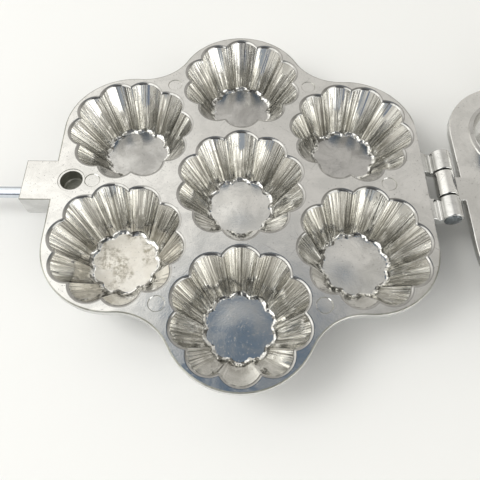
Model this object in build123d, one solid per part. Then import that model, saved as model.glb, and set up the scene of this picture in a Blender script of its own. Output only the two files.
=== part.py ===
from build123d import *
import os
from math import cos, pi, radians, sin, sqrt

os.makedirs("parts", exist_ok=True)

# A hinged egg tart mold in cast aluminium, opened flat on a table.
# The base half on the left has seven fluted cups. The cover half on the right has seven round plugs,
# and folds over the base about a pinned hinge. Each half has a steel rod handle with a wooden grip.
# Millimetres. X runs along the handles towards the cover, Y to the back, Z up.
# Shapes are drawn with the base's parting face at height 0, and are lifted on to the table at the end.

# Cup layout
CUP_PITCH = 66.0
RING_CUPS = 6
RING_START_ANGLE = 30.0

# Inside of a cup, where tip is the outermost point of a flute and cusp the ridge between two flutes
FLUTES = 10
MOUTH_TIP_RADIUS = 32.0
MOUTH_CUSP_RADIUS = 28.3
MOUTH_BREAK = 0.8
WALL_FOOT_TIP_RADIUS = 18.6
WALL_FOOT_CUSP_RADIUS = 17.0
FOOT_BEVEL = 2.0
CUP_DEPTH = 23.5
CUP_WALL = 2.9
CUP_FLOOR = 3.0

# Decks, the flat plates that carry the cups and the plugs
DECK_THICKNESS = 3.8
DECK_MARGIN = 34.2
DECK_WAIST_RADIUS = 26.0
DECK_EDGE_ROUND = 0.5

# Round marks that the casting's push-out pins leave on the base deck
MARK_RING_RADIUS = 72.5
MARK_RADIUS = 3.8
MARK_DEPTH = 0.25

# Handle lug
LUG_LENGTH = 14.7
LUG_WIDTH = 22.8
LUG_DEPTH = 17.8
LUG_ROUND = 7.0

# Locating peg on the cover and its socket in the base
PEG_OFFSET = 82.7
SOCKET_RADIUS = 5.4
SOCKET_COUNTERSINK = 0.9
SOCKET_DEPTH = 7.0
SOCKET_BOSS_WALL = 2.6
SOCKET_BOSS_FLOOR = 2.5
PEG_CLEARANCE = 0.6
PEG_HEIGHT = 5.0
PEG_TAPER = 0.5

# Hinge
HINGE_REACH = 9.3
HINGE_DROP = 1.35
KNUCKLE_RADIUS = 5.0
MIDDLE_KNUCKLE_LENGTH = 14.0
OUTER_KNUCKLE_LENGTH = 11.8
KNUCKLE_GAP = 0.4
ARM_DIP = 1.5
PIN_RADIUS = 2.0
PIN_CLEARANCE = 0.05
PIN_HEAD_RADIUS = 4.1
PIN_HEAD_HEIGHT = 1.0
PARTING_GAP = 0.3

# Plugs, which press the paste against the cup walls
PLUG_FOOT_RADIUS = 22.5
PLUG_TOP_RADIUS = 13.0
PLUG_HEIGHT = 20.0
PLUG_TOP_ROUND = 1.6
PLUG_WALL = 3.0
COLLAR_WIDTH = 1.7
COLLAR_HEIGHT = 0.7

# Handles
ROD_DEPTH = 11.8
ROD_RADIUS = 2.9
ROD_SEAT = 12.5
ROD_EXPOSED = 110.0
SEAT_CLEARANCE = 0.03
GRIP_LENGTH = 110.0
GRIP_GAP = 0.5
GRIP_NECK_RADIUS = 9.0
GRIP_WAIST_RADIUS = 9.8
GRIP_END_RADIUS = 10.4
GRIP_END_ROUND = 3.0
GRIP_FLARE = 0.15
GRIP_SWELL_SHARE = 0.35
GRIP_WAIST_SHARE = 0.75
TENON_RADIUS = 7.0
FERRULE_LENGTH = 14.0
FERRULE_WALL = 1.2
NUT_RADIUS = 5.0
NUT_LENGTH = 7.0
NUT_DOME = 4.0
NUT_WASHER_RADIUS = 7.5
NUT_WASHER_THICKNESS = 1.2
ROD_IN_NUT = 4.5

# Sizes that follow from the ones above
DECK_HALF_LENGTH = CUP_PITCH * cos(radians(RING_START_ANGLE)) + DECK_MARGIN
HINGE_X = DECK_HALF_LENGTH + HINGE_REACH
COVER_DROP = 2 * HINGE_DROP + PARTING_GAP
LUG_FACE_X = DECK_HALF_LENGTH + LUG_LENGTH
KNUCKLE_END = MIDDLE_KNUCKLE_LENGTH / 2 + KNUCKLE_GAP + OUTER_KNUCKLE_LENGTH
PEG_RADIUS = SOCKET_RADIUS - PEG_CLEARANCE
GRIP_RADIUS = ROD_DEPTH + (PARTING_GAP - GRIP_GAP) / 2
STAND_HEIGHT = CUP_DEPTH + CUP_FLOOR
PIN_BORE_RADIUS = PIN_RADIUS + PIN_CLEARANCE
ROD_HOLE_RADIUS = ROD_RADIUS + SEAT_CLEARANCE
GRIP_START = ROD_EXPOSED + FERRULE_LENGTH
GRIP_END = GRIP_START + GRIP_LENGTH
THROUGH = 100.0

PLACE_NAMES = ("back_right", "back", "back_left", "front_left", "front", "front_right")

# Ways to align a shape: standing on a height, or hanging down from it
STANDING = (Align.CENTER, Align.CENTER, Align.MIN)
DOWN = (Align.CENTER, Align.CENTER, Align.MAX)


def polar(radius, angle):
    """The point at a radius and an angle in radians."""
    return radius * cos(angle), radius * sin(angle)


def ring_angles():
    """The angle of each outer cup in degrees, in the order of PLACE_NAMES."""
    return [RING_START_ANGLE + 360.0 / RING_CUPS * place for place in range(RING_CUPS)]


def cup_places():
    """Moves a cup drawn at the origin, with a flute towards +Y, to each of its places, by name."""
    places = {"centre": Location()}
    for name, angle in zip(PLACE_NAMES, ring_angles()):
        places[name] = Rot(0, 0, angle - 90) * Pos(0, CUP_PITCH, 0)
    return places


def fluted_face(tip_radius, cusp_radius, height, growth=0.0):
    """A level face bounded by one arc per flute, each arc grown outwards by growth."""
    half_angle = pi / FLUTES
    sagitta = tip_radius - cusp_radius * cos(half_angle)
    arc_radius = ((cusp_radius * sin(half_angle)) ** 2 + sagitta**2) / (2 * sagitta)
    centre = tip_radius - arc_radius
    grown = arc_radius + growth
    cusp = centre * cos(half_angle) + sqrt(grown**2 - (centre * sin(half_angle)) ** 2)
    arcs = []
    for flute in range(FLUTES):
        middle = pi / 2 + 2 * half_angle * flute
        start, end = polar(cusp, middle - half_angle), polar(cusp, middle + half_angle)
        arcs.append(ThreePointArc(start, polar(centre + grown, middle), end))
    return Pos(0, 0, height) * make_face(arcs)


def cup_hollow():
    """The space inside a cup, from just above the deck down to the cup's floor."""
    wall_top = MOUTH_TIP_RADIUS - MOUTH_BREAK, MOUTH_CUSP_RADIUS - MOUTH_BREAK
    wall_foot = WALL_FOOT_TIP_RADIUS, WALL_FOOT_CUSP_RADIUS
    floor = WALL_FOOT_TIP_RADIUS - FOOT_BEVEL, WALL_FOOT_CUSP_RADIUS - FOOT_BEVEL
    return loft(
        [
            fluted_face(MOUTH_TIP_RADIUS, MOUTH_CUSP_RADIUS, DECK_THICKNESS),
            fluted_face(MOUTH_TIP_RADIUS, MOUTH_CUSP_RADIUS, 0),
            fluted_face(*wall_top, -MOUTH_BREAK),
            fluted_face(*wall_foot, FOOT_BEVEL - CUP_DEPTH),
            fluted_face(*floor, -CUP_DEPTH),
        ],
        ruled=True,
    )


def wall_radii(height):
    """The tip and cusp radii of the cup's inner wall at a height between its top and its foot."""
    top, foot = -MOUTH_BREAK, FOOT_BEVEL - CUP_DEPTH
    share = (height - top) / (foot - top)
    tip = (MOUTH_TIP_RADIUS - MOUTH_BREAK) * (1 - share) + WALL_FOOT_TIP_RADIUS * share
    cusp = (MOUTH_CUSP_RADIUS - MOUTH_BREAK) * (1 - share) + WALL_FOOT_CUSP_RADIUS * share
    return tip, cusp


def cup_shell():
    """One cup below the deck: a fluted outside that follows the hollow, less the hollow."""
    foot = WALL_FOOT_TIP_RADIUS, WALL_FOOT_CUSP_RADIUS
    outside = loft(
        [
            fluted_face(*wall_radii(-DECK_THICKNESS), -DECK_THICKNESS, CUP_WALL),
            fluted_face(*foot, FOOT_BEVEL - STAND_HEIGHT, CUP_WALL),
            fluted_face(*foot, -STAND_HEIGHT, CUP_WALL - FOOT_BEVEL),
        ],
        ruled=True,
    )
    return outside - cup_hollow()


def arc_about(centre, start, end):
    """The shorter arc from start to end about their common centre."""
    outwards = (start - centre) + (end - centre)
    return ThreePointArc(start, centre + outwards.normalized() * (start - centre).length, end)


def deck_outline():
    """The plate's outline: a round corner about each outer cup, with waists between at back and front."""
    corner, back = Vector(*polar(CUP_PITCH, radians(RING_START_ANGLE))), Vector(0, CUP_PITCH)
    half_gap = (corner - back).length / 2
    reach = sqrt((DECK_MARGIN + DECK_WAIST_RADIUS) ** 2 - half_gap**2)
    waist = (corner + back) / 2 + (corner + back).normalized() * reach
    side_end = corner + Vector(DECK_MARGIN, 0)
    corner_join = corner + (waist - corner).normalized() * DECK_MARGIN
    back_join = back + (waist - back).normalized() * DECK_MARGIN
    quarter = Curve() + [
        Line((side_end.X, 0), side_end),
        arc_about(corner, side_end, corner_join),
        arc_about(waist, corner_join, back_join),
        arc_about(back, back_join, back + Vector(0, DECK_MARGIN)),
    ]
    half = quarter + mirror(quarter, Plane.YZ)
    return make_face((half + mirror(half, Plane.XZ)).edges())


def plate():
    """The flat plate of either half, with its parting face at height 0."""
    slab = extrude(deck_outline(), -DECK_THICKNESS)
    return fillet(slab.faces().sort_by(Axis.Z)[-1].edges(), DECK_EDGE_ROUND)


def handle_lug():
    """The lug that takes the rod, at the plate's handle edge, with its bore."""
    middle = -DECK_HALF_LENGTH - LUG_LENGTH / 2
    lug = Pos(middle, 0, -LUG_DEPTH / 2) * Box(LUG_LENGTH, LUG_WIDTH, LUG_DEPTH)
    lower_edges = lug.edges().filter_by(Axis.X).group_by(Axis.Z)[0]
    lug = fillet(lower_edges, LUG_ROUND)
    bore = Rot(0, 90, 0) * Cylinder(ROD_HOLE_RADIUS, ROD_SEAT)
    return lug - Pos(-LUG_FACE_X + ROD_SEAT / 2, 0, -ROD_DEPTH) * bore


def knuckle(start, length, axis_height, arm_dip):
    """A hinge knuckle from start along Y, and the arm to the plate's edge, which dips by the barrel."""
    arm_side = Polyline(
        (DECK_HALF_LENGTH - DECK_EDGE_ROUND, 0),
        (DECK_HALF_LENGTH - DECK_EDGE_ROUND, -DECK_THICKNESS),
        (HINGE_X, axis_height - KNUCKLE_RADIUS),
        (HINGE_X, -arm_dip),
        (HINGE_X - KNUCKLE_RADIUS, -arm_dip),
        close=True,
    )
    arm = extrude(Plane.XZ.offset(-start) * make_face(arm_side), -length)
    barrel = Rot(90, 0, 0) * Cylinder(KNUCKLE_RADIUS, length)
    return arm + Pos(HINGE_X, start + length / 2, axis_height) * barrel


def pin_bore(axis_height):
    """The hole for the hinge pin through every knuckle of one half."""
    return Pos(HINGE_X, 0, axis_height) * Rot(90, 0, 0) * Cylinder(PIN_BORE_RADIUS, THROUGH)


def socket_boss():
    """The boss under the base deck round the locating socket."""
    depth = SOCKET_DEPTH + SOCKET_BOSS_FLOOR - DECK_THICKNESS
    boss = Cylinder(SOCKET_RADIUS + SOCKET_BOSS_WALL, depth, align=DOWN)
    return Pos(-PEG_OFFSET, 0, -DECK_THICKNESS) * boss


def socket():
    """The round socket and its countersink."""
    hole = Cylinder(SOCKET_RADIUS, SOCKET_DEPTH, align=DOWN)
    mouth = Cone(SOCKET_RADIUS, SOCKET_RADIUS + SOCKET_COUNTERSINK, SOCKET_COUNTERSINK, align=DOWN)
    return Pos(-PEG_OFFSET, 0, 0) * (hole + mouth)


def push_out_marks():
    """The shallow round marks on the base deck, one outside each pair of outer cups."""
    mark = Cylinder(MARK_RADIUS, 2 * MARK_DEPTH)
    between = 180 / RING_CUPS
    return [Rot(0, 0, angle + between) * Pos(MARK_RING_RADIUS, 0, 0) * mark for angle in ring_angles()]


def base_deck():
    """The base plate with its cup mouths, handle lug, socket boss and the two outer knuckles."""
    deck = plate() + handle_lug() + socket_boss()
    for start in (KNUCKLE_END - OUTER_KNUCKLE_LENGTH, -KNUCKLE_END):
        deck += knuckle(start, OUTER_KNUCKLE_LENGTH, -HINGE_DROP, ARM_DIP)
    deck -= pin_bore(-HINGE_DROP)
    deck -= socket()
    deck -= push_out_marks()
    hollow = cup_hollow()
    return deck - [place * hollow for place in cup_places().values()]


def cover_deck():
    """The cover plate, drawn like the base, with its lug, the middle knuckle and the plugs' openings."""
    axis_height = HINGE_DROP + PARTING_GAP
    deck = plate() + handle_lug()
    deck += knuckle(-MIDDLE_KNUCKLE_LENGTH / 2, MIDDLE_KNUCKLE_LENGTH, axis_height, 0)
    deck -= pin_bore(axis_height)
    opening = Cylinder(PLUG_FOOT_RADIUS - PLUG_WALL, THROUGH)
    return deck - [place * opening for place in cup_places().values()]


def plug():
    """One hollow plug standing on the cover's parting face, with a low collar round its foot."""
    body = Cone(PLUG_FOOT_RADIUS, PLUG_TOP_RADIUS, PLUG_HEIGHT, align=STANDING)
    body = fillet(body.edges().sort_by(Axis.Z)[-1], PLUG_TOP_ROUND)
    collar = Cylinder(PLUG_FOOT_RADIUS + COLLAR_WIDTH, COLLAR_HEIGHT, align=STANDING)
    foot, top = PLUG_FOOT_RADIUS - PLUG_WALL, PLUG_TOP_RADIUS - PLUG_WALL
    return body + collar - Cone(foot, top, PLUG_HEIGHT - PLUG_WALL, align=STANDING)


def locating_peg():
    """The tapered peg on the cover that enters the base's socket."""
    return Pos(-PEG_OFFSET, 0, 0) * Cone(PEG_RADIUS, PEG_RADIUS - PEG_TAPER, PEG_HEIGHT, align=STANDING)


def hinge_pin():
    """The pin through the knuckles, with a low domed head riveted at each end."""
    shank = Cylinder(PIN_RADIUS, 2 * KNUCKLE_END)
    dome = (PIN_HEAD_RADIUS**2 + PIN_HEAD_HEIGHT**2) / (2 * PIN_HEAD_HEIGHT)
    ball = Pos(0, 0, KNUCKLE_END + PIN_HEAD_HEIGHT - dome) * Sphere(dome)
    keep = Pos(0, 0, KNUCKLE_END) * Cylinder(2 * PIN_HEAD_RADIUS, 2 * dome, align=STANDING)
    head = ball & keep
    pin = shank + head + Rot(180, 0, 0) * head
    return Pos(HINGE_X, 0, -HINGE_DROP) * Rot(90, 0, 0) * pin


def along_handle(profile):
    """Turns a profile drawn as distance beyond the lug against radius into a solid about the rod's axis."""
    turned = revolve(Plane.XY * profile, Axis.X, 360)
    return Pos(-LUG_FACE_X, 0, -ROD_DEPTH) * Rot(0, 0, 180) * turned


def span(start, end, inner, outer):
    """A rectangular profile between two distances and two radii, for along_handle."""
    return make_face(Polyline((start, inner), (end, inner), (end, outer), (start, outer), close=True))


def rod():
    """The steel rod from inside the lug, through the grip, into the end nut."""
    return along_handle(span(-ROD_SEAT, GRIP_END + NUT_WASHER_THICKNESS + ROD_IN_NUT, 0, ROD_RADIUS))


def ferrule():
    """The metal cap on the grip's front end."""
    inner = TENON_RADIUS + SEAT_CLEARANCE
    sleeve = span(ROD_EXPOSED, GRIP_START, ROD_HOLE_RADIUS, inner + FERRULE_WALL)
    return along_handle(sleeve - span(ROD_EXPOSED + FERRULE_WALL, GRIP_START, ROD_HOLE_RADIUS, inner))


def grip():
    """The turned wooden grip: a tenon in the ferrule, a swell, a waist and a rounded end."""
    swell, waist = GRIP_START + GRIP_SWELL_SHARE * GRIP_LENGTH, GRIP_START + GRIP_WAIST_SHARE * GRIP_LENGTH
    neck, end = (GRIP_START, GRIP_NECK_RADIUS), (GRIP_END - GRIP_END_ROUND, GRIP_END_RADIUS)
    slopes = [(1, GRIP_FLARE), (1, 0), (1, 0), (1, 0)]
    curve = Spline(neck, (swell, GRIP_RADIUS), (waist, GRIP_WAIST_RADIUS), end, tangents=slopes)
    rounded = (GRIP_END, GRIP_END_RADIUS - GRIP_END_ROUND)
    tip = RadiusArc(end, rounded, GRIP_END_ROUND)
    rest = Polyline(rounded, (GRIP_END, ROD_HOLE_RADIUS), (GRIP_START, ROD_HOLE_RADIUS), neck)
    tenon = span(ROD_EXPOSED + FERRULE_WALL, GRIP_START + GRIP_END_ROUND, ROD_HOLE_RADIUS, TENON_RADIUS)
    return along_handle(make_face([curve, tip, rest]) + tenon)


def end_nut():
    """The domed nut and washer that hold the grip on the rod."""
    washer = span(GRIP_END, GRIP_END + NUT_WASHER_THICKNESS, 0, NUT_WASHER_RADIUS)
    dome_end = GRIP_END + NUT_WASHER_THICKNESS + NUT_LENGTH
    nut = span(GRIP_END, dome_end, 0, NUT_RADIUS)
    nut = fillet(nut.vertices().sort_by(Axis.X)[-2:].sort_by(Axis.Y)[-1], NUT_DOME)
    hole_end = GRIP_END + NUT_WASHER_THICKNESS + ROD_IN_NUT + SEAT_CLEARANCE
    return along_handle(washer + nut - span(GRIP_END, hole_end, 0, ROD_HOLE_RADIUS))


def save(node, shape, place=Location()):
    """Writes one solid under its node's name, standing on the table."""
    export_step(Pos(0, 0, STAND_HEIGHT) * place * shape, f"parts/{node}.step")


OPENED = Pos(2 * HINGE_X, 0, -COVER_DROP) * Rot(0, 0, 180)

HANDLE_PIECES = {"rod": rod, "ferrule": ferrule, "grip": grip, "end_nut": end_nut}

save("base_deck", base_deck())
save("cover_deck", cover_deck(), OPENED)
save("locating_peg", locating_peg(), OPENED)
save("hinge_pin", hinge_pin())
cup, male = cup_shell(), plug()
for name, place in cup_places().items():
    save(f"cup_{name}", cup, place)
    facing = place.position
    save(f"plug_{name}", male, Pos(2 * HINGE_X - facing.X, facing.Y, -COVER_DROP))
for piece, make in HANDLE_PIECES.items():
    save(f"base_{piece}", make())
    save(f"cover_{piece}", make(), OPENED)
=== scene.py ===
import logging
from dataclasses import dataclass
from enum import Enum
from math import atan, atan2, cos, pi, radians, sin, sqrt, tau
from typing import Callable, Sequence

import bmesh
import bpy
from mathutils import Matrix, Vector


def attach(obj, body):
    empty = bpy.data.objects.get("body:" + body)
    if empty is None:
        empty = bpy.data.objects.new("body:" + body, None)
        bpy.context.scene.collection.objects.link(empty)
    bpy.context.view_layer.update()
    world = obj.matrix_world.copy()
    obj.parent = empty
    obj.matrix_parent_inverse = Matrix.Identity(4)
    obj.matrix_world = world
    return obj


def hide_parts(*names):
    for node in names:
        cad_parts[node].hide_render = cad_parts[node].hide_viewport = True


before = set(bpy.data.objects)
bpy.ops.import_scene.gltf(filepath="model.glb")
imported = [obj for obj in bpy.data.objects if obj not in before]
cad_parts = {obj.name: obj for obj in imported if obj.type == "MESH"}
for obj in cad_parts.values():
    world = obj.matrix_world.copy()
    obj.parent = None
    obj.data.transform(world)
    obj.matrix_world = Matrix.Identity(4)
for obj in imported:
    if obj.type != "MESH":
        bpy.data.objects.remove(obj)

log = logging.getLogger("egg_tart_mold")

MM = 0.001
UP = Vector((0, 0, 1))
BACK = Vector((0, 1, 0))
ALONG = Vector((1, 0, 0))
# Points nearer than this, in metres, become one.
MERGE = 2e-7
# The radius in metres of the circle that becomes a line's first point.
DOT = 1e-5
# How near to a level or a side, in millimetres, a point counts as on it.
NEAR = 1e-3

Tone = tuple[float, float, float]
Profile = list[tuple[float, float]]
Piece = bpy.types.Object
Socket = bpy.types.NodeSocket


def heading(degrees: float, radius: float = 1.0) -> Vector:
    """The level vector of a length at an angle from the X axis."""
    return Vector((cos(radians(degrees)), sin(radians(degrees)), 0)) * radius


def bow(centre: tuple[float, float], along: float, out: float, start: float, end: float,
        steps: int) -> Profile:
    """Points of a turned profile on a round or oval arc.

    Args:
        centre: the arc's centre, as a distance along the axis and one out from it.
        along: the arc's radius along the axis.
        out: its radius away from the axis.
        start: the angle in radians from straight out at which it starts.
        end: the angle at which it ends.
        steps: the number of edges.

    Returns:
        The points, with both ends.
    """
    angles = [start + (end - start) * step / steps for step in range(steps + 1)]
    return [(centre[0] + along * sin(angle), centre[1] + out * cos(angle)) for angle in angles]


@dataclass(frozen=True)
class Layout:
    """Sizes that several pieces share, in millimetres, with a half's parting face at height 0.

    Attributes:
        stand_height: how high over the table the base's parting face is.
        cup_pitch: from the middle cup's axis to each outer one's.
        cup_count: the number of outer cups.
        first_angle: the direction of the first outer cup, in degrees.
        margin: how far round an outer cup's axis the plate reaches.
        hinge_reach: from the plate's straight edge to the hinge axis.
        hinge_drop: how far under the base's parting face the hinge axis is.
        hinge_end: how far from its middle the hinge ends.
        parting_gap: the gap between the parting faces when closed.
        deck: the plates' thickness.
        lug_length: how far the lugs stand out from their plates.
        rod_depth: how far under the parting face the rod's axis is.
        rod_radius: the rod's radius.
        rod_seat: how far the rod reaches into the lug.
        peg_out: how far from the middle the peg and its socket are.
    """

    stand_height: float = 26.5
    cup_pitch: float = 66.0
    cup_count: int = 6
    first_angle: float = 30.0
    margin: float = 34.2
    hinge_reach: float = 9.3
    hinge_drop: float = 1.35
    hinge_end: float = 19.2
    parting_gap: float = 0.3
    deck: float = 3.8
    lug_length: float = 14.7
    rod_depth: float = 11.8
    rod_radius: float = 2.9
    rod_seat: float = 12.5
    peg_out: float = 82.7

    @property
    def side_x(self) -> float:
        """Where the plate's straight hinge edge is."""
        return self.cup_pitch * cos(radians(self.first_angle)) + self.margin

    @property
    def hinge_x(self) -> float:
        """Where the hinge axis is."""
        return self.side_x + self.hinge_reach

    @property
    def lug_face(self) -> float:
        """How far the lug's outer face is from the middle."""
        return self.side_x + self.lug_length

    @property
    def cover_drop(self) -> float:
        """How much lower than the base's the opened cover's parting face is."""
        return 2 * self.hinge_drop + self.parting_gap

    def ring(self) -> list[tuple[float, Vector]]:
        """The direction in degrees and the centre of each outer cup."""
        turns = [self.first_angle + 360.0 / self.cup_count * place for place in range(self.cup_count)]
        return [(turn, heading(turn, self.cup_pitch)) for turn in turns]

    def cups(self) -> list[tuple[float, Vector]]:
        """The direction of a flute and the centre of every cup, the middle one first."""
        return [(90.0, Vector((0, 0, 0))), *self.ring()]


LAYOUT = Layout()


class Half(Enum):
    """The two halves of the mold, by the body that each rides on."""

    BASE = "base"
    COVER = "cover"

    @property
    def place(self) -> Matrix:
        """Moves a half that is drawn with its parting face at height 0 to where it lies open.

        Returns:
            The move, in metres.
        """
        if self is Half.BASE:
            return Matrix.Translation(UP * LAYOUT.stand_height * MM)
        lift = UP * (LAYOUT.stand_height - LAYOUT.cover_drop)
        return Matrix.Translation((ALONG * 2 * LAYOUT.hinge_x + lift) * MM) @ Matrix.Rotation(pi, 4, "Z")


class Pen:
    """Draws a line of edges in edit mode, in millimetres, as straight runs and arcs."""

    def __init__(self, start: Vector, normal: Vector = UP) -> None:
        """Puts the first point down.

        Args:
            start: where the line starts.
            normal: the axis that the arcs turn about.
        """
        bpy.ops.mesh.select_all(action="DESELECT")
        bpy.ops.mesh.primitive_circle_add(vertices=3, radius=DOT, location=start * MM)
        bpy.ops.mesh.merge(type="CENTER")
        self.at = Vector(start)
        self.normal = normal

    def line(self, *points: Vector) -> "Pen":
        """Draws straight runs from point to point.

        Args:
            *points: where the runs end.

        Returns:
            The pen.
        """
        for point in points:
            bpy.ops.mesh.extrude_vertices_move(TRANSFORM_OT_translate={"value": (point - self.at) * MM})
            self.at = Vector(point)
        return self

    def arc(self, centre: Vector, angle: float, steps: int) -> "Pen":
        """Draws an arc.

        Args:
            centre: the arc's centre.
            angle: the turn in radians, anticlockwise about the normal.
            steps: the number of edges.

        Returns:
            The pen.
        """
        bpy.ops.mesh.spin(steps=steps, angle=-angle, center=centre * MM, axis=self.normal)
        self.at = centre + Matrix.Rotation(angle, 3, self.normal) @ (self.at - centre)
        return self

    def sweep(self, centre: Vector, end: Vector, steps: int, way: int = 1) -> "Pen":
        """Draws an arc about a centre up to the direction of a point.

        Args:
            centre: the arc's centre.
            end: the point that the arc ends at.
            steps: the number of edges.
            way: 1 for anticlockwise about the normal, -1 for clockwise.

        Returns:
            The pen.
        """
        before, after = self.at - centre, end - centre
        turn = atan2(before.cross(after).dot(self.normal), before.dot(after))
        return self.arc(centre, turn % (way * tau), steps)


class Bench:
    """The moves of mesh modelling that the pieces share. Lengths are in millimetres."""

    @staticmethod
    def blank(name: str) -> Piece:
        """Adds an empty mesh object at the origin, in edit mode.

        Args:
            name: its name.

        Returns:
            The object.
        """
        bpy.ops.object.select_all(action="DESELECT")
        bpy.ops.mesh.primitive_plane_add()
        piece = bpy.context.object
        piece.name = piece.data.name = name
        bpy.ops.object.mode_set(mode="EDIT")
        bpy.ops.mesh.select_all(action="SELECT")
        bpy.ops.mesh.delete(type="VERT")
        return piece

    @staticmethod
    def take(piece: Piece) -> None:
        """Makes a piece the only selected one, and the active one.

        Args:
            piece: the piece.
        """
        bpy.ops.object.select_all(action="DESELECT")
        piece.select_set(True)
        bpy.context.view_layer.objects.active = piece

    @staticmethod
    def pick(test: Callable[[Vector], bool]) -> None:
        """Selects the points in edit mode that pass a test, and the edges and faces between them.

        Args:
            test: whether a point, given in millimetres, is wanted.
        """
        mesh = bmesh.from_edit_mesh(bpy.context.object.data)
        for vertex in mesh.verts:
            vertex.select_set(test(vertex.co / MM))
        mesh.select_flush_mode()
        bmesh.update_edit_mesh(bpy.context.object.data)

    @staticmethod
    def bevel(width: float, segments: int, test: Callable[[Vector], bool]) -> None:
        """Rounds the edges between the points that pass a test, in edit mode."""
        Bench.pick(test)
        bpy.ops.mesh.bevel(offset=width * MM, segments=segments, profile=0.5)

    @staticmethod
    def close() -> None:
        """Merges what meets, turns the faces outwards and leaves edit mode."""
        bpy.ops.mesh.reveal()
        bpy.ops.mesh.select_all(action="SELECT")
        bpy.ops.mesh.remove_doubles(threshold=MERGE)
        bpy.ops.mesh.normals_make_consistent(inside=False)
        bpy.ops.object.mode_set(mode="OBJECT")

    @staticmethod
    def turned(name: str, profile: Profile, at: Vector, axis: Vector = UP, out: Vector = ALONG,
               steps: int = 64) -> Piece:
        """Turns a profile about an axis, as on a lathe.

        Args:
            name: the piece's name.
            profile: distances along the axis and radii, from end to end.
            at: the point that the distances start from.
            axis: the direction in which the distances run.
            out: the direction in which the profile is drawn.
            steps: the number of sides.

        Returns:
            The closed piece, in object mode.
        """
        piece = Bench.blank(name)
        points = [at + axis * along + out * radius for along, radius in profile]
        Pen(points[0]).line(*points[1:])
        bpy.ops.mesh.select_all(action="SELECT")
        bpy.ops.mesh.spin(steps=steps, angle=tau, center=at * MM, axis=axis)
        Bench.close()
        return piece

    @staticmethod
    def extruded(depth: Vector) -> None:
        """Fills the closed outline that was just drawn, pulls it out and closes the piece.

        Args:
            depth: how far, and which way, it is pulled out.
        """
        bpy.ops.mesh.select_all(action="SELECT")
        bpy.ops.mesh.remove_doubles(threshold=MERGE)
        bpy.ops.mesh.select_all(action="SELECT")
        bpy.ops.mesh.edge_face_add()
        bpy.ops.mesh.extrude_region_move(TRANSFORM_OT_translate={"value": depth * MM})
        Bench.close()

    @staticmethod
    def copy(piece: Piece, name: str, move: Matrix) -> Piece:
        """Copies a piece with its mesh, and moves the mesh.

        Args:
            piece: the piece to copy.
            name: the copy's name.
            move: the move, in metres.

        Returns:
            The copy.
        """
        Bench.take(piece)
        bpy.ops.object.duplicate(linked=False)
        twin = bpy.context.object
        twin.name = twin.data.name = name
        Bench.settle(twin, move)
        return twin

    @staticmethod
    def settle(piece: Piece, move: Matrix) -> None:
        """Moves a piece and puts the move into its mesh.

        Args:
            piece: the piece.
            move: the move, in metres.
        """
        Bench.take(piece)
        piece.matrix_world = move
        bpy.ops.object.transform_apply(location=True, rotation=True, scale=True)

    @staticmethod
    def carve(piece: Piece, tool: Piece, how: str) -> None:
        """Joins or cuts a piece with a tool, which is used up.

        Args:
            piece: the piece that is changed.
            tool: the closed shape to join or cut with.
            how: UNION or DIFFERENCE.
        """
        modifier = piece.modifiers.new(how.lower(), "BOOLEAN")
        modifier.operation = how
        modifier.solver = "MANIFOLD"
        modifier.object = tool
        bpy.context.view_layer.objects.active = piece
        bpy.ops.object.modifier_apply(modifier=modifier.name)
        bpy.data.objects.remove(tool)

    @staticmethod
    def join(piece: Piece, tool: Piece) -> None:
        """Adds a closed shape to a piece."""
        Bench.carve(piece, tool, "UNION")

    @staticmethod
    def cut(piece: Piece, tool: Piece) -> None:
        """Takes a closed shape away from a piece."""
        Bench.carve(piece, tool, "DIFFERENCE")

    @staticmethod
    def smooth(piece: Piece, angle: float = 35.0) -> None:
        """Shades a piece smoothly but for its sharp edges, with large faces flat.

        Args:
            piece: the piece.
            angle: the angle in degrees over which an edge stays sharp.
        """
        Bench.take(piece)
        bpy.ops.object.shade_smooth_by_angle(angle=radians(angle))
        weigh = piece.modifiers.new("weigh", "WEIGHTED_NORMAL")
        weigh.keep_sharp = True
        bpy.ops.object.modifier_apply(modifier=weigh.name)

    @staticmethod
    def hand_over(piece: Piece, half: Half, slot: str, *nodes: str) -> None:
        """Puts a drawn piece where its half lies open, on the half's body and for its CAD nodes.

        Args:
            piece: the piece.
            half: the half that it rides on.
            slot: its material slot; not used.
            *nodes: the CAD nodes that it stands for.
        """
        Bench.settle(piece, half.place)
        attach(piece, half.value)
        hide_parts(*nodes)
        log.info("%s: %d faces", piece.name, len(piece.data.polygons))


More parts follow.
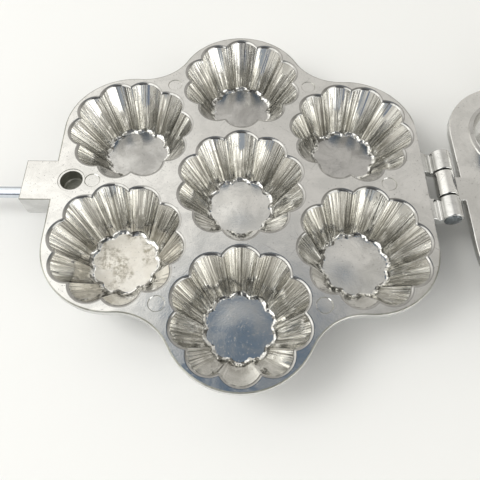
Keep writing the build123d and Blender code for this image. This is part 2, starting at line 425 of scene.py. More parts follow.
@dataclass(frozen=True)
class Flutes:
    """One level outline of a cup: hollow lobes with a rounded ridge between each two.

    Attributes:
        reach: how far a lobe's centre is from the cup's axis.
        lobe: a lobe's radius.
        ridge: the radius of a ridge's rounding.
        height: above the parting face.
    """

    reach: float
    lobe: float
    ridge: float
    height: float

    COUNT = 10
    LOBE_STEPS = 18
    RIDGE_STEPS = 6

    @classmethod
    def through(cls, tip: float, cusp: float, ridge: float, height: float) -> "Flutes":
        """Finds the outline from how far it reaches out and in.

        Args:
            tip: how far the lobes reach.
            cusp: how far in the ridges reach.
            ridge: the radius of the ridges' rounding.
            height: above the parting face.

        Returns:
            The outline.
        """
        outer, inner = tip + ridge, cusp + ridge
        reach = (outer**2 - inner**2) / (2 * (outer - inner * cos(pi / cls.COUNT)))
        return cls(reach, tip - reach, ridge, height)

    def grown(self, by: float, ridge: float, height: float) -> "Flutes":
        """The outline at an even distance outside this one."""
        return Flutes(self.reach, self.lobe + by, ridge, height)

    def draw(self) -> None:
        """Draws the outline in edit mode about the origin, with a lobe towards the back."""
        half = 180.0 / self.COUNT
        far = self.reach * cos(radians(half)) + sqrt(
            (self.lobe + self.ridge) ** 2 - (self.reach * sin(radians(half))) ** 2)
        level = UP * self.height
        hub, ridge_hub = heading(90, self.reach), heading(90 + half, far)
        between = ridge_hub - hub
        spread = atan2(-between.x, between.y)
        bpy.ops.mesh.select_all(action="SELECT")
        bpy.ops.mesh.hide()
        start = hub + Vector((self.lobe * sin(spread), self.lobe * cos(spread), 0))
        pen = Pen(start + level)
        pen.arc(hub + level, 2 * spread, self.LOBE_STEPS)
        pen.arc(ridge_hub + level, radians(2 * half) - 2 * spread, self.RIDGE_STEPS)
        bpy.ops.mesh.select_all(action="SELECT")
        bpy.ops.mesh.spin(steps=self.COUNT, angle=tau, center=(0, 0, 0), axis=UP, dupli=True)
        bpy.ops.mesh.select_all(action="SELECT")
        bpy.ops.mesh.remove_doubles(threshold=MERGE)

    @staticmethod
    def stack(name: str, outlines: Sequence["Flutes"]) -> Piece:
        """Builds the closed shape through outlines drawn one above another.

        Args:
            name: the piece's name.
            outlines: the outlines from the top down.

        Returns:
            The shape, in object mode.
        """
        piece = Bench.blank(name)
        for outline in outlines:
            outline.draw()
        bpy.ops.mesh.reveal()
        levels = [outline.height for outline in outlines]
        for upper, lower in zip(levels, levels[1:]):
            Bench.pick(lambda point: min(abs(point.z - upper), abs(point.z - lower)) < NEAR)
            bpy.ops.mesh.bridge_edge_loops()
        for level in (levels[0], levels[-1]):
            Bench.pick(lambda point: abs(point.z - level) < NEAR)
            bpy.ops.mesh.edge_face_add()
        Bench.close()
        return piece


@dataclass(frozen=True)
class WallLine:
    """The straight slope of a cup's wall, and the roundings that end it at the mouth and the floor.

    Attributes:
        mouth: the radius at which the slope would meet the deck.
        foot: the radius at which it would meet the floor.
        depth: the floor's depth.
    """

    mouth: float
    foot: float
    depth: float

    @property
    def lean(self) -> float:
        """The wall's angle from upright, in radians."""
        return atan((self.mouth - self.foot) / self.depth)

    def at(self, height: float) -> float:
        """The radius of the slope at a height."""
        return self.mouth + height * (self.mouth - self.foot) / self.depth

    def lip(self, rounding: float, height: float) -> float:
        """Follows the mouth's rounding.

        Args:
            rounding: its radius.
            height: the height.

        Returns:
            How far from the cup's axis it is there.
        """
        down = rounding * (1 - sin(self.lean)) / cos(self.lean)
        middle = self.mouth - down * sin(self.lean) + rounding * cos(self.lean)
        return middle - sqrt(max(0, rounding**2 - (height + rounding) ** 2))

    def fillet(self, rounding: float, height: float) -> float:
        """Follows the floor's fillet.

        Args:
            rounding: its radius.
            height: the height.

        Returns:
            How far from the cup's axis it is there.
        """
        down = (self.depth - rounding * (1 - sin(self.lean))) / cos(self.lean)
        middle = self.mouth - down * sin(self.lean) - rounding * cos(self.lean)
        return middle + sqrt(max(0, rounding**2 - (height + self.depth - rounding) ** 2))


@dataclass(frozen=True)
class Cup:
    """A fluted cup, drawn about the origin with a lobe towards the back.

    Attributes:
        tip: the wall's slope at the lobes' tips.
        cusp: the wall's slope at the ridges.
        mouth_ridge: the radius of the ridges' rounding at the mouth.
        foot_ridge: the same at the floor.
        lip: the radius of the mouth's rounding.
        lip_steps: the number of edges across it.
        fillet: the radius of the fillet at the floor.
        fillet_steps: the number of edges across that.
        wall_rings: the heights of the outlines between them.
        crown: how far the floor swells in its middle.
        crown_radius: where the swelling starts.
        wall: the wall's thickness.
        floor: the floor's thickness.
        groove: the radius of the grooves outside.
        outer_fillet: the rounding of the outer foot.
        outer_top: the height inside the deck at which the outer shape starts.
        stand_out: how far the cutting shape stands out of the deck.
    """

    tip: WallLine = WallLine(31.35, 17.5, 23.5)
    cusp: WallLine = WallLine(27.6, 16.1, 23.5)
    mouth_ridge: float = 1.25
    foot_ridge: float = 0.6
    lip: float = 1.8
    lip_steps: int = 6
    fillet: float = 2.6
    fillet_steps: int = 7
    wall_rings: tuple[float, ...] = (-6.0, -11.0, -16.0)
    crown: float = 0.35
    crown_radius: float = 14.2
    wall: float = 2.9
    floor: float = 3.0
    groove: float = 1.6
    outer_fillet: float = 2.4
    outer_top: float = -1.0
    stand_out: float = 2.0

    @property
    def depth(self) -> float:
        """The floor's depth below the parting face."""
        return self.tip.depth

    def ridge(self, height: float) -> float:
        """The radius of the ridges' rounding on the plain wall at a height."""
        return self.mouth_ridge + (self.foot_ridge - self.mouth_ridge) * -height / self.depth

    def plain(self, height: float) -> Flutes:
        """The wall's outline at a height, without the roundings at its ends."""
        return Flutes.through(self.tip.at(height), self.cusp.at(height), self.ridge(height), height)

    def rounded(self, height: float, radius: float, of: Callable[[WallLine, float, float], float]) -> Flutes:
        """Finds the outline at a height within the lip or the fillet.

        Args:
            height: the height.
            radius: the lip's or the fillet's radius.
            of: WallLine.lip or WallLine.fillet.

        Returns:
            The outline.
        """
        tip, cusp = of(self.tip, radius, height), of(self.cusp, radius, height)
        ridge = self.ridge(height) - (tip - self.tip.at(height))
        return Flutes.through(tip, cusp, ridge, height)

    def hollow(self) -> Piece:
        """Builds the space inside the cup, which stands a little out of the deck.

        Returns:
            The closed shape, in object mode.
        """
        turn = pi / 2 - self.tip.lean
        lips = [self.lip * (cos(turn * step / self.lip_steps) - 1) for step in range(self.lip_steps + 1)]
        feet = [self.fillet * (1 - cos(turn * step / self.fillet_steps)) - self.depth
                for step in range(self.fillet_steps, -1, -1)]
        mouth = self.rounded(0, self.lip, WallLine.lip)
        outlines = [mouth.grown(0, mouth.ridge, self.stand_out)]
        outlines += [self.rounded(height, self.lip, WallLine.lip) for height in lips]
        outlines += [self.plain(height) for height in self.wall_rings]
        outlines += [self.rounded(height, self.fillet, WallLine.fillet) for height in feet]
        hollow = Flutes.stack("hollow", outlines)
        Bench.cut(hollow, self.floor_crown())
        return hollow

    def floor_crown(self) -> Piece:
        """Builds the low swelling of the cup's floor, which starts level at its edge.

        Returns:
            The closed shape, in object mode.
        """
        radius, steps = self.crown_radius, 12
        sunk, skirt, shy = -1.0, radius + 0.3, -0.004
        profile = [(sunk, 0), (sunk, skirt), (shy, skirt)]
        profile += [(self.crown * (1 - cos(pi * step / steps)) / 2, radius * (1 - step / steps))
                    for step in range(1, steps + 1)]
        return Bench.turned("crown", profile, UP * -self.depth, steps=60)

    def outside(self) -> Piece:
        """Builds the cup's outer shape, from inside the deck down to the table.

        Returns:
            The closed shape, in object mode.
        """
        top, foot = self.plain(self.outer_top), self.plain(self.outer_fillet - self.depth - self.floor)
        outlines = [top.grown(self.wall, self.groove, top.height)]
        rounding = self.outer_fillet
        for down, out in bow((0, self.wall - rounding), rounding, rounding, 0, pi / 2, 5):
            outlines.append(foot.grown(out, self.groove, foot.height - down))
        return Flutes.stack("outside", outlines)

    @staticmethod
    def place(turn: float, centre: Vector) -> Matrix:
        """Moves the cup to a centre and turns its first lobe to a direction in degrees."""
        return Matrix.Translation(centre * MM) @ Matrix.Rotation(radians(turn - 90), 4, "Z")


@dataclass(frozen=True)
class Plate:
    """The flat plate of either half."""

    waist: float = 26.0
    edge: float = 0.8
    corner_steps: int = 26
    waist_steps: int = 12

    def build(self, name: str) -> Piece:
        """Draws the outline about the outer cups, pulls it down and rounds its edges.

        Args:
            name: the piece's name.

        Returns:
            The plate.
        """
        cups = [centre for _, centre in LAYOUT.ring()]
        piece = Bench.blank(name)
        first = cups[-1] + ALONG * LAYOUT.margin
        pen = Pen(first)
        pen.line(cups[0] + ALONG * LAYOUT.margin)
        for place, (here, there) in enumerate(zip(cups, cups[1:])):
            if place == 2:
                pen.sweep(here, here - ALONG * LAYOUT.margin, self.corner_steps)
                pen.line(there - ALONG * LAYOUT.margin)
                continue
            waist = self.waist_centre(here, there)
            pen.sweep(here, waist, self.corner_steps)
            pen.sweep(waist, there, self.waist_steps, -1)
        pen.sweep(cups[-1], first, self.corner_steps)
        Bench.extruded(UP * -LAYOUT.deck)
        self.round_edges(piece)
        return piece

    def waist_centre(self, here: Vector, there: Vector) -> Vector:
        """The centre of the waist between two outer cups."""
        reach = sqrt((LAYOUT.margin + self.waist) ** 2 - ((here - there).length / 2) ** 2)
        return (here + there) / 2 + (here + there).normalized() * reach

    def round_edges(self, piece: Piece) -> None:
        """Rounds the plate's upper and lower edges.

        Args:
            piece: the plate.
        """
        bpy.context.view_layer.objects.active = piece
        for level in (0.0, -LAYOUT.deck):
            bpy.ops.object.mode_set(mode="EDIT")
            Bench.bevel(self.edge, 4, lambda point: abs(point.z - level) < NEAR)
            bpy.ops.object.mode_set(mode="OBJECT")


@dataclass(frozen=True)
class Lug:
    """The block at the plate's handle edge that takes the rod.

    Attributes:
        width: its width.
        depth: its height.
        under: the rounding of its lower edges.
        edge: the rounding of its other edges.
        root: how far it reaches into the plate.
        mouth: how much wider the hole's eased mouth starts, just outside.
    """

    width: float = 22.8
    depth: float = 17.8
    under: float = 7.0
    edge: float = 0.5
    root: float = 2.0
    mouth: float = 1.3

    def build(self) -> Piece:
        """Makes the block from a box, with its lower edges rounded under.

        Returns:
            The block, in object mode.
        """
        length = LAYOUT.lug_length + self.root
        middle = Vector((-LAYOUT.lug_face + length / 2, 0, -self.depth / 2))
        bpy.ops.object.select_all(action="DESELECT")
        bpy.ops.mesh.primitive_cube_add(size=1, location=middle * MM)
        lug = bpy.context.object
        lug.scale = Vector((length, self.width, self.depth)) * MM
        bpy.ops.object.transform_apply(location=True, rotation=True, scale=True)
        bpy.ops.object.mode_set(mode="EDIT")
        for side in (-1, 1):
            Bench.bevel(self.under, 10, lambda point: point.z < NEAR - self.depth and point.y * side > 0)
        Bench.bevel(self.edge, 3, lambda point: point.x < NEAR - LAYOUT.lug_face)
        outer = self.width / 2 - NEAR
        for side in (-1, 1):
            Bench.bevel(self.edge, 3, lambda point: point.z > -NEAR and point.y * side > outer)
        Bench.close()
        return lug

    def bore(self) -> Piece:
        """Builds the hole for the rod, with an eased mouth.

        Returns:
            The closed shape, in object mode.
        """
        at = Vector((-LAYOUT.lug_face, 0, -LAYOUT.rod_depth))
        radius, wide = LAYOUT.rod_radius, LAYOUT.rod_radius + self.mouth
        profile = [(-1, 0), (-1, wide), (self.mouth - 1, radius), (LAYOUT.rod_seat, radius),
                   (LAYOUT.rod_seat, 0)]
        return Bench.turned("bore", profile, at, ALONG, BACK, 40)


@dataclass(frozen=True)
class Knuckle:
    """A hinge knuckle with the arm that joins it to the plate.

    Attributes:
        start: where it starts along the hinge axis.
        length: its length.
        height: the hinge axis's height over the half's parting face.
        radius: the barrel's radius.
        hollow: the radius of the hollow between the arm and the barrel.
        low_notch: how far over a low axis that hollow's centre is.
        pin: the bore's radius.
        end_round: the rounding of its ends.
        root: how far the arm reaches into the plate.
        setback: how far inside the plate's edge the arm's top starts to bend.
        shy: how far the arm's top stays under the parting face.
        arm_lift: how far its foot stays over the plate's underside.
    """

    start: float
    length: float
    height: float
    radius: float = 5.0
    hollow: float = 0.9
    low_notch: float = 0.6
    pin: float = 2.05
    end_round: float = 0.5
    root: float = 2.0
    setback: float = 0.5
    shy: float = 0.03
    arm_lift: float = 0.2

    def build(self) -> Piece:
        """Draws the side of the arm and the barrel and pulls it along the hinge.

        Returns:
            The knuckle, in object mode.
        """
        inside = LAYOUT.side_x - self.root
        under = Vector((inside, self.start, self.arm_lift - LAYOUT.deck))
        axis = Vector((LAYOUT.hinge_x, self.start, self.height))
        knuckle = Bench.blank("knuckle")
        low = self.height < 0
        free = self.height + self.low_notch if low else self.hollow
        out = sqrt((self.radius + self.hollow) ** 2 - (free - self.height) ** 2)
        notch = Vector((axis.x - out, self.start, free))
        edge = Vector((LAYOUT.side_x - self.setback, self.start, -self.shy))
        pen = Pen(under, BACK)
        pen.line(Vector((inside, self.start, -self.shy)), edge)
        if low:
            run = notch.x - edge.x
            bend = ((free - edge.z) ** 2 + run**2 - self.hollow**2) / (2 * (self.hollow - (free - edge.z)))
            crest = edge - UP * bend
            pen.sweep(crest, notch, 8)
        else:
            pen.line(Vector((notch.x, self.start, 0)))
        pen.sweep(notch, axis, 8, -1)
        bottom = axis - UP * self.radius
        pen.sweep(axis, bottom, 40)
        pen.line(under)
        Bench.extruded(BACK * self.length)
        bpy.ops.object.mode_set(mode="EDIT")
        for end in (self.start, self.start + self.length):
            Bench.bevel(self.end_round, 3, lambda point: abs(point.y - end) < NEAR)
        Bench.close()
        return knuckle

    def bore(self) -> Piece:
        """Builds the hole for the pin.

        Returns:
            The closed shape, in object mode.
        """
        at = Vector((LAYOUT.hinge_x, self.start - 1, self.height))
        profile = [(0, 0), (0, self.pin), (self.length + 2, self.pin), (self.length + 2, 0)]
        return Bench.turned("pin bore", profile, at, BACK, ALONG, 32)


class Net:
    """A node tree, and the moves that add nodes to it."""

    def __init__(self, tree: bpy.types.NodeTree) -> None:
        """Takes the tree that nodes are added to."""
        self.tree = tree

    def node(self, kind: str, **settings: object) -> bpy.types.Node:
        """Adds a node and sets its properties.

        Args:
            kind: its type.
            **settings: its properties by name.

        Returns:
            The node.
        """
        made = self.tree.nodes.new(kind)
        for name, value in settings.items():
            setattr(made, name, value)
        return made

    def feed(self, node: bpy.types.Node, **values: object) -> bpy.types.Node:
        """Sets or links a node's inputs by name, with _ for a space.

        Args:
            node: the node.
            **values: a value or an output for each input.

        Returns:
            The node.
        """
        for name, value in values.items():
            self.put(node.inputs[name.replace("_", " ")], value)
        return node

    def put(self, socket: Socket, value: object) -> None:
        """Links an input to an output, or sets its value.

        Args:
            socket: the input.
            value: an output, a colour or a number.
        """
        if isinstance(value, Socket):
            self.tree.links.new(value, socket)
        elif socket.type == "RGBA":
            socket.default_value = (*value, 1.0)
        else:
            socket.default_value = value

    def noise(self, vector: Socket, scale: float, detail: float = 3.0, roughness: float = 0.5,
              distortion: float = 0.0) -> Socket:
        """Adds a noise pattern.

        Args:
            vector: the place.
            scale: how many lumps to the unit.
            detail: the number of finer layers.
            roughness: how strong they are.
            distortion: how twisted it is.

        Returns:
            The pattern, from 0 to 1.
        """
        made = self.feed(self.node("ShaderNodeTexNoise"), Vector=vector, Scale=scale, Detail=detail,
                         Roughness=roughness, Distortion=distortion)
        return made.outputs["Fac"]

    def stretch(self, vector: Socket, scale: Sequence[float], turn: Sequence[float] = (0, 0, 0)) -> Socket:
        """A vector with each part scaled, and then turned."""
        made = self.feed(self.node("ShaderNodeMapping"), Vector=vector, Scale=scale, Rotation=turn)
        return made.outputs["Vector"]

    def span(self, value: Socket, low: float, high: float, to_low: float = 0.0,
             to_high: float = 1.0) -> Socket:
        """Maps a value smoothly from one span to another, and holds it within that.

        Args:
            value: the value.
            low: where the first span starts.
            high: where it ends.
            to_low: what low becomes.
            to_high: what high becomes.

        Returns:
            The new value.
        """
        made = self.node("ShaderNodeMapRange", interpolation_type="SMOOTHSTEP")
        self.feed(made, Value=value, From_Min=low, From_Max=high, To_Min=to_low, To_Max=to_high)
        return made.outputs["Result"]

    def sum(self, how: str, first: object, second: object) -> Socket:
        """Puts two values together.

        Args:
            how: ADD, MULTIPLY, MAXIMUM and so on.
            first: a value or an output.
            second: another.

        Returns:
            The result.
        """
        made = self.node("ShaderNodeMath", operation=how)
        for socket, value in zip(made.inputs, (first, second)):
            self.put(socket, value)
        return made.outputs["Value"]

    def blend(self, amount: object, first: object, second: object) -> Socket:
        """Mixes two colours.

        Args:
            amount: 0 for the first colour and 1 for the second.
            first: a colour or an output.
            second: another.

        Returns:
            The colour.
        """
        made = self.node("ShaderNodeMix", data_type="RGBA")
        self.put(made.inputs["Factor"], amount)
        colours = [socket for socket in made.inputs if socket.type == "RGBA"]
        for socket, colour in zip(colours, (first, second)):
            self.put(socket, colour)
        return next(socket for socket in made.outputs if socket.type == "RGBA")

    def bump(self, height: Socket, strength: object, distance: float, normal: Socket | None = None) -> Socket:
        """Lays a relief over the surface.

        Args:
            height: the height, from 0 to 1.
            strength: how strongly it shows, from 0 to 1.
            distance: how high 1 is, in metres.
            normal: the normal under it.

        Returns:
            The new normal.
        """
        made = self.feed(self.node("ShaderNodeBump"), Height=height, Strength=strength, Distance=distance)
        if normal:
            self.put(made.inputs["Normal"], normal)
        return made.outputs["Normal"]

    def part(self, vector: Socket, axis: str) -> Socket:
        """One part of a vector."""
        return self.feed(self.node("ShaderNodeSeparateXYZ"), Vector=vector).outputs[axis]

    @property
    def place(self) -> Socket:
        """The object's own coordinates."""
        return self.node("ShaderNodeTexCoord").outputs["Object"]

    @property
    def chart(self) -> Socket:
        """The piece's own UV map."""
        return self.node("ShaderNodeTexCoord").outputs["UV"]

    @property
    def facing(self) -> Socket:
        """Which way the surface faces, along the object's own axes."""
        return self.node("ShaderNodeTexCoord").outputs["Normal"]


class Effect:
    """A node group that several finishes share, built once and given its own values in each."""

    name = "effect"
    inputs: dict[str, str] = {}
    outputs: dict[str, str] = {}

    def put_in(self, net: Net, **values: object) -> bpy.types.Node:
        """Puts the group into a finish, with the finish's own values."""
        tree = bpy.data.node_groups.get(self.name) or self.build()
        return net.feed(net.node("ShaderNodeGroup", node_tree=tree), **values)

    def build(self) -> bpy.types.NodeTree:
        """Makes the group's sockets and fills it.

        Returns:
            The group.
        """
        tree = bpy.data.node_groups.new(self.name, "ShaderNodeTree")
        for way, sockets in (("INPUT", self.inputs), ("OUTPUT", self.outputs)):
            for label, kind in sockets.items():
                tree.interface.new_socket(name=label, in_out=way, socket_type=f"NodeSocket{kind}")
        net = Net(tree)
        results = self.fill(net, net.node("NodeGroupInput").outputs)
        net.feed(net.node("NodeGroupOutput"), **results)
        log.info("effect %s", self.name)
        return tree

    def fill(self, net: Net, given: bpy.types.NodeOutputs) -> dict[str, Socket]:
        """Adds the group's nodes and returns its outputs by name. Each effect has its own."""
        raise NotImplementedError


class CastSkin(Effect):
    """The skin of a casting: clouds of polish, mottling, pits, faint scratches, grain and soft waves."""

    name = "cast_skin"
    inputs = {"Place": "Vector", "Tone": "Color", "Shade": "Color", "Pits": "Float", "Scratches": "Float",
              "Grain": "Float", "Wave": "Float"}
    outputs = {"Color": "Color", "Cloud": "Float", "Normal": "Vector"}

    def fill(self, net: Net, given: bpy.types.NodeOutputs) -> dict[str, Socket]:
        """Mixes the tone and the normal from noise of several sizes.

        Args:
            net: the group's nodes.
            given: the group's inputs.

        Returns:
            What goes to each output.
        """
        place = given["Place"]
        cloud = net.span(net.noise(place, 75, 4, 0.65, 0.6), 0.36, 0.64)
        mottle = net.span(net.noise(place, 480, 3, 0.6), 0.45, 0.72, 0, 0.3)
        pits = net.sum("MULTIPLY", net.span(net.noise(place, 1100, 2, 0.6), 0.66, 0.72), given["Pits"])
        scratches = net.sum("MAXIMUM", self.scratch(net, place, 0.6), self.scratch(net, place, -0.9))
        scratches = net.sum("MULTIPLY", scratches, given["Scratches"])
        tone = net.blend(cloud, given["Tone"], given["Shade"])
        tone = net.blend(mottle, tone, given["Shade"])
        dark = net.blend(0.75, given["Shade"], (0.05, 0.05, 0.045))
        tone = net.blend(net.sum("MAXIMUM", pits, scratches), tone, dark)
        normal = net.bump(net.noise(place, 1500, 2, 0.6), given["Grain"], 0.00005)
        normal = net.bump(net.sum("MULTIPLY", pits, -1.0), 0.5, 0.0001, normal)
        normal = net.bump(net.noise(place, 60, 2, 0.5), given["Wave"], 0.0006, normal)
        return {"Color": tone, "Cloud": cloud, "Normal": normal}

    def scratch(self, net: Net, place: Socket, turn: float) -> Socket:
        """Adds a few long fine scratches that run one way.

        Args:
            net: the group's nodes.
            place: the object's coordinates.
            turn: the scratches' direction in radians.

        Returns:
            The mask.
        """
        turned = net.stretch(place, (1, 1, 1), (0, 0, turn))
        fine = net.noise(net.stretch(turned, (90, 1900, 90)), 1.0, 1)
        return net.span(fine, 0.72, 0.78)


class FineLines(Effect):
    """Fine and broad lines that run one way, as from drawing, turning or polishing."""

    name = "fine_lines"
    inputs = {"Chart": "Vector", "Fine": "Float", "Broad": "Float", "Normal": "Vector"}
    outputs = {"Lines": "Float", "Broad": "Float", "Normal": "Vector"}

    def fill(self, net: Net, given: bpy.types.NodeOutputs) -> dict[str, Socket]:
        """Adds lines across the chart's first part, as masks and as ridges.

        Args:
            net: the group's nodes.
            given: the group's inputs.

        Returns:
            What goes to each output.
        """
        patch = net.span(net.noise(net.stretch(given["Chart"], (0.15, 0.6, 0.15)), 1.0, 2), 0.38, 0.6, 0.7)
        lines = net.sum("MULTIPLY", net.noise(given["Chart"], 1.0, 3, 0.62), patch)
        broad = net.noise(net.stretch(given["Chart"], (0.3, 0.5, 0.3)), 1.0, 2, 0.5)
        lines = net.span(lines, 0.45, 0.55)
        normal = net.bump(lines, given["Fine"], 0.00008, given["Normal"])
        normal = net.bump(broad, given["Broad"], 0.0012, normal)
        return {"Lines": lines, "Broad": net.span(broad, 0.38, 0.62), "Normal": normal}


class Finish:
    """What every finish does: a material of its own, with a shader and nodes."""

    name = "finish"

    def material(self) -> bpy.types.Material:
        """Makes the finish's material, or finds it once made.

        Returns:
            The material.
        """
        name = f"{self.name}_finish"
        found = bpy.data.materials.get(name)
        if found:
            return found
        material = bpy.data.materials.new(name)
        material.use_nodes = True
        net = Net(material.node_tree)
        self.dress(net, material.node_tree.nodes["Principled BSDF"])
        log.info("finish %s", self.name)
        return material

    def dress(self, net: Net, shader: bpy.types.Node) -> None:
        """Sets the shader and adds the nodes. Each finish has its own."""
        raise NotImplementedError


class CastFace(Finish):
    """Cast and lightly polished aluminium, as on the parting faces."""

    name = "cast_face"
    tone = (0.83, 0.825, 0.805)
    shade = (0.74, 0.735, 0.715)
    rough = (0.12, 0.24)
    pits = 0.55
    scratches = 0.3
    grain = 0.4
    wave = 0.3

    def dress(self, net: Net, shader: bpy.types.Node) -> None:
        """The cast skin, duller where the polish is cloudy.

        Args:
            net: the material's nodes.
            shader: its shader.
        """
        skin = CastSkin().put_in(net, Place=net.place, Tone=self.tone, Shade=self.shade, Pits=self.pits,
                                 Scratches=self.scratches, Grain=self.grain, Wave=self.wave)
        rough = net.span(skin.outputs["Cloud"], 0, 1, *self.rough)
        net.feed(shader, Base_Color=skin.outputs["Color"], Metallic=1.0, Roughness=rough,
                 Normal=skin.outputs["Normal"])


class CupFloor(CastFace):
    """The bright floors of the cups."""

    name = "cup_floor"
    tone = (0.87, 0.865, 0.84)
    shade = (0.74, 0.735, 0.71)
    rough = (0.15, 0.21)
    pits = 0.4
    scratches = 0.0
    wave = 0.15


class CupFloorPaintedShade(CupFloor):
    """The floors of the three back cups, painted darker: a painted shade for the darker reflections in them.
    """

    name = "cup_floor_painted_shade"
    # Painted shade: the cup floor's tone, darkened.
    tone = (0.61, 0.605, 0.59)
    shade = (0.46, 0.455, 0.44)


class CupLipPaintedShade(CastFace):
    """The rounded lips of the cups, painted darker: a painted shade that deepens the dark reflections along
    them.
    """

    name = "cup_lip_painted_shade"
    # Painted shade: a tone darker than the parting face's, so the lips' reflections read dark.
    tone = (0.5, 0.495, 0.48)
    shade = (0.4, 0.395, 0.38)
    rough = (0.03, 0.08)
    scratches = 0.0
    wave = 0.2


class MattFloor(CastFace):
    """The floor of the front left cup, dulled by a thin blotchy film of pale oxide."""

    name = "cup_floor_matt"
    tone = (0.98, 0.95, 0.88)
    shade = (0.9, 0.86, 0.78)
    rough = (0.3, 0.5)
    pits = 0.5
    scratches = 0.0
    grain = 1.0
    stain = (0.42, 0.38, 0.3)
    metal = (0.5, 0.0)

    def dress(self, net: Net, shader: bpy.types.Node) -> None:
        """The cast skin under the film, which is thick and thin in turn and stained in spots.

        Args:
            net: the material's nodes.
            shader: its shader.
        """
        super().dress(net, shader)
        place = net.place
        film = net.noise(place, 170, 5, 0.75, 1.2)
        spots = net.span(net.noise(place, 420, 6, 0.8), 0.4, 0.62)
        spots = net.sum("MULTIPLY", spots, net.span(net.noise(place, 90, 2), 0.42, 0.54, 0.1))
        skin = shader.inputs["Base Color"].links[0].from_socket
        net.feed(shader, Base_Color=net.blend(spots, skin, self.stain),
                 Metallic=net.span(film, 0.4, 0.56, *self.metal))


class FootRing(CastFace):
    """The bright hollow round each cup's floor."""

    name = "foot_ring"
    tone = (0.88, 0.875, 0.85)
    shade = (0.7, 0.695, 0.67)
    rough = (0.05, 0.12)
    scratches = 0.0
    grain = 0.35
    dark_patches = (0.14, 0.135, 0.12)

    def dress(self, net: Net, shader: bpy.types.Node) -> None:
        """The cast skin, left uneven by the polishing, with near-black patches from noise.

        Args:
            net: the material's nodes.
            shader: its shader.
        """
        super().dress(net, shader)
        skin = shader.inputs["Base Color"].links[0].from_socket
        smooth = shader.inputs["Normal"].links[0].from_socket
        place = net.place
        dark_patches = net.span(net.noise(place, 300, 2), 0.5, 0.58, 0.0, 0.85)
        net.feed(shader, Base_Color=net.blend(dark_patches, skin, self.dark_patches),
                 Normal=net.bump(net.noise(place, 330, 1), 0.8, 0.0008, smooth))


class HingeCasting(CastFace):
    """The satin skin of the hinge knuckles."""

    name = "hinge_casting"
    tone = (0.76, 0.76, 0.75)
    shade = (0.6, 0.6, 0.585)
    rough = (0.12, 0.2)
    grain = 0.4


class RoughCasting(CastFace):
    """The casting as it leaves the mold, on the undersides."""

    name = "rough_casting"
    tone = (0.72, 0.72, 0.71)
    shade = (0.63, 0.63, 0.62)
    rough = (0.34, 0.46)
    pits = 0.25
    grain = 0.45


class PlugFace(CastFace):
    """The satin faces of the cover's plugs."""

    name = "plug_face"
    tone = (0.68, 0.675, 0.66)
    shade = (0.58, 0.575, 0.56)
    rough = (0.16, 0.26)


class RecessPaintedShade(CastFace):
    """The rough inside of the locating socket and the sloped sides of the push-out marks, painted dark: a
    painted shade for these recesses.
    """

    name = "recess_painted_shade"
    # Painted shade: a dark tone for the shade in the recesses.
    tone = (0.46, 0.46, 0.42)
    shade = (0.3, 0.3, 0.26)
    rough = (0.45, 0.6)
    pits = 1.0
    grain = 1.0
    wave = 0.8


class CastWall(Finish):
    """The walls of the cups: bright, with lines down the flutes and baked-on stains lower down.

    The lobes at the front, which face back, are smoother and painted darker, a painted shade for the dim
    reflections on them.
    """

    name = "cast_wall"
    tone = (0.94, 0.93, 0.895)
    groove = (0.35, 0.34, 0.31)
    stain = (0.3, 0.29, 0.25)
    # Painted shade: the darker tone laid on the lobes that face back.
    front = (0.5, 0.495, 0.475)

    def dress(self, net: Net, shader: bpy.types.Node) -> None:
        """The cast skin under lines that run down the flutes, stained in patches towards the floor, with
        painted shade on the lobes that face back.

        Args:
            net: the material's nodes.
            shader: its shader.
        """
        chart = net.chart
        # Mask of the lobes that face back, which get fainter lines and the painted shade.
        front = net.span(net.part(net.facing, "Y"), 0.4, 0.75)
        skin = CastSkin().put_in(net, Place=net.place, Tone=self.tone, Shade=self.tone, Pits=0.5,
                                 Scratches=0.0, Grain=0.15, Wave=0.2)
        fine, broad = net.span(front, 0, 1, 0.8, 0.15), net.span(front, 0, 1, 0.5, 0.15)
        lines = FineLines().put_in(net, Chart=net.stretch(chart, (0.9, 0.012, 1)), Fine=fine, Broad=broad,
                                   Normal=skin.outputs["Normal"])
        low = net.span(net.part(chart, "Y"), -7.0, -17.0)
        patches = net.noise(net.stretch(chart, (0.3, 0.12, 1)), 1.0, 5, 0.75, 0.5)
        stains = net.sum("MULTIPLY", low, net.span(patches, 0.4, 0.54, 0.0, 0.62))
        # Painted shade on the lobes that face back.
        tone = net.blend(net.sum("MULTIPLY", front, 0.6), skin.outputs["Color"], self.front)
        grooves = net.sum("MULTIPLY", lines.outputs["Lines"], net.span(front, 0, 1, 1.0, 0.25))
        tone = net.blend(grooves, tone, self.groove)
        tone = net.blend(stains, tone, self.stain)
        rough = net.span(patches, 0.4, 0.6, 0.04, 0.1)
        net.feed(shader, Base_Color=tone, Metallic=1.0, Roughness=rough, Normal=lines.outputs["Normal"])


